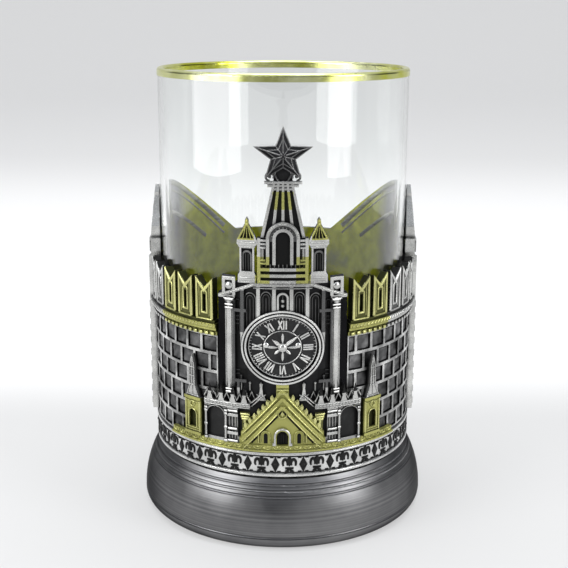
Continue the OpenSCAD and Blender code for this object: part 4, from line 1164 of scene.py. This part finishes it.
def floor_sweep():
    """A floor that runs up into a wall behind, pale, with a painted band of light behind the object."""
    profile = [(FLOOR_FRONT, 0), (BEND_Y, 0)]
    profile += [(BEND_Y + BEND_R * sin(radians(a)), BEND_R - BEND_R * cos(radians(a)))
                for a in range(10, 91, 10)]
    profile.append((BEND_Y + BEND_R, BACKDROP_TOP))
    mesh = bpy.data.meshes.new("floor_sweep")
    points = [(side * FLOOR_HALF_W * MM, y * MM, z * MM) for y, z in profile for side in SIDES]
    faces = [(2 * i, 2 * i + 1, 2 * i + 3, 2 * i + 2) for i in range(len(profile) - 1)]
    mesh.from_pydata(points, [], faces)
    for polygon in mesh.polygons:
        polygon.use_smooth = True
    sweep = bpy.data.objects.new("floor_sweep", mesh)
    bpy.context.scene.collection.objects.link(sweep)
    tree, shader = new_material("paper")
    place, split = object_place(tree)
    # Painted light: a near-white band from about 50 to 760 mm behind the middle, over paper that is darker
    # towards the front
    rise = map_range(tree, split["Y"], 50 * MM, 120 * MM, smooth=True)
    fall = map_range(tree, split["Y"], 430 * MM, 760 * MM, 1.0, 0.0, smooth=True)
    fibre = map_range(tree, noise(tree, place, 900.0, 3.0), 0.3, 0.7, -0.006, 0.006)
    share = maths(tree, "ADD", maths(tree, "MULTIPLY", rise, fall), fibre)
    far = mix_colour(tree, map_range(tree, split["Y"], 0, 700 * MM), grey(0.735), grey(0.83))
    colour = mix_colour(tree, share, far, grey(0.97))
    feed_all(tree, shader, {"Base Color": colour, "Roughness": 0.9, "Specular IOR Level": 0.1})
    glow = add_node(tree, "ShaderNodeEmission", {"Color": colour, "Strength": 1.0})
    rays = tree.nodes.new("ShaderNodeLightPath").outputs
    seen = maths(tree, "MAXIMUM", rays["Is Camera Ray"],
                 maths(tree, "MAXIMUM", rays["Is Glossy Ray"], rays["Is Transmission Ray"]))
    blend = tree.nodes.new("ShaderNodeMixShader")
    for socket, value in zip(blend.inputs, (maths(tree, "MULTIPLY", seen, BACKDROP_GLOW), shader.outputs[0],
                                            glow.outputs[0])):
        feed(tree, socket, value)
    tree.links.new(blend.outputs[0], tree.nodes["Material Output"].inputs["Surface"])
    mesh.materials.append(MATERIALS["paper"])


def studio_world():
    """A dim room with a bright ceiling, so that the polished edges have something to pick up."""
    world = bpy.data.worlds.new("studio")
    bpy.context.scene.world = world
    world.use_nodes = True
    tree = world.node_tree
    view = tree.nodes.new("ShaderNodeTexCoord").outputs["Generated"]
    height = add_node(tree, "ShaderNodeSeparateXYZ", {"Vector": view}).outputs["Z"]
    ceiling = map_range(tree, height, 0.15, 0.8, smooth=True)
    room = mix_colour(tree, ceiling, (0.10, 0.105, 0.115), (0.9, 0.94, 1.0))
    feed_all(tree, tree.nodes["Background"], {"Color": room, "Strength": 0.8})


floor_sweep()
studio_world()


def lamp(name, place, target, width, height, power):
    """A rectangular lamp, hidden from the camera itself."""
    data = bpy.data.lights.new(name, "AREA")
    data.shape = "RECTANGLE"
    data.size, data.size_y = width * MM, height * MM
    data.energy = power
    obj = bpy.data.objects.new(name, data)
    obj.visible_camera = False
    bpy.context.scene.collection.objects.link(obj)
    here, there = Vector(place) * MM, Vector(target) * MM
    obj.matrix_world = Matrix.Translation(here) @ (there - here).to_track_quat("-Z", "Y").to_matrix().to_4x4()


MIDDLE, GLASS_MIDDLE = (0, 0, 60), (0, 0, 88)
lamp("key_left", (-620, -420, 420), MIDDLE, 420, 520, 3.9)
lamp("key_right", (640, -380, 360), MIDDLE, 320, 520, 3.0)
# Low panels just outside the picture, that show as soft bands in the glass
lamp("panel_left", (-225, -130, 88), GLASS_MIDDLE, 230, 52, 0.085)
lamp("panel_right", (196, -171, 88), GLASS_MIDDLE, 100, 52, 0.037)
lamp("top", (0, 80, 800), MIDDLE, 600, 500, 4.2)


# Camera, fitted to the photograph

FOCAL_PX = 1063.859
IMAGE_PX = 568
SENSOR = 36.0
CAMERA_PLACE = (0.0, -293.768, 138.243)
CAMERA_DOWN = 0.253
CAMERA_ROLL = 0.0024
CENTRE_SHIFT_PX = -1.2

camera_data = bpy.data.cameras.new("camera")
camera_data.sensor_width = SENSOR
camera_data.lens = SENSOR * FOCAL_PX / IMAGE_PX
camera_data.shift_x = -CENTRE_SHIFT_PX / IMAGE_PX
camera_data.clip_start = 10 * MM
camera = bpy.data.objects.new("camera", camera_data)
bpy.context.scene.collection.objects.link(camera)
camera.matrix_world = (Matrix.Translation(Vector(CAMERA_PLACE) * MM)
                       @ Matrix.Rotation(pi / 2 - CAMERA_DOWN, 4, "X")
                       @ Matrix.Rotation(CAMERA_ROLL, 4, "Z"))
bpy.context.scene.camera = camera
bpy.context.scene.view_settings.view_transform = "Standard"

bpy.context.view_layer.update()
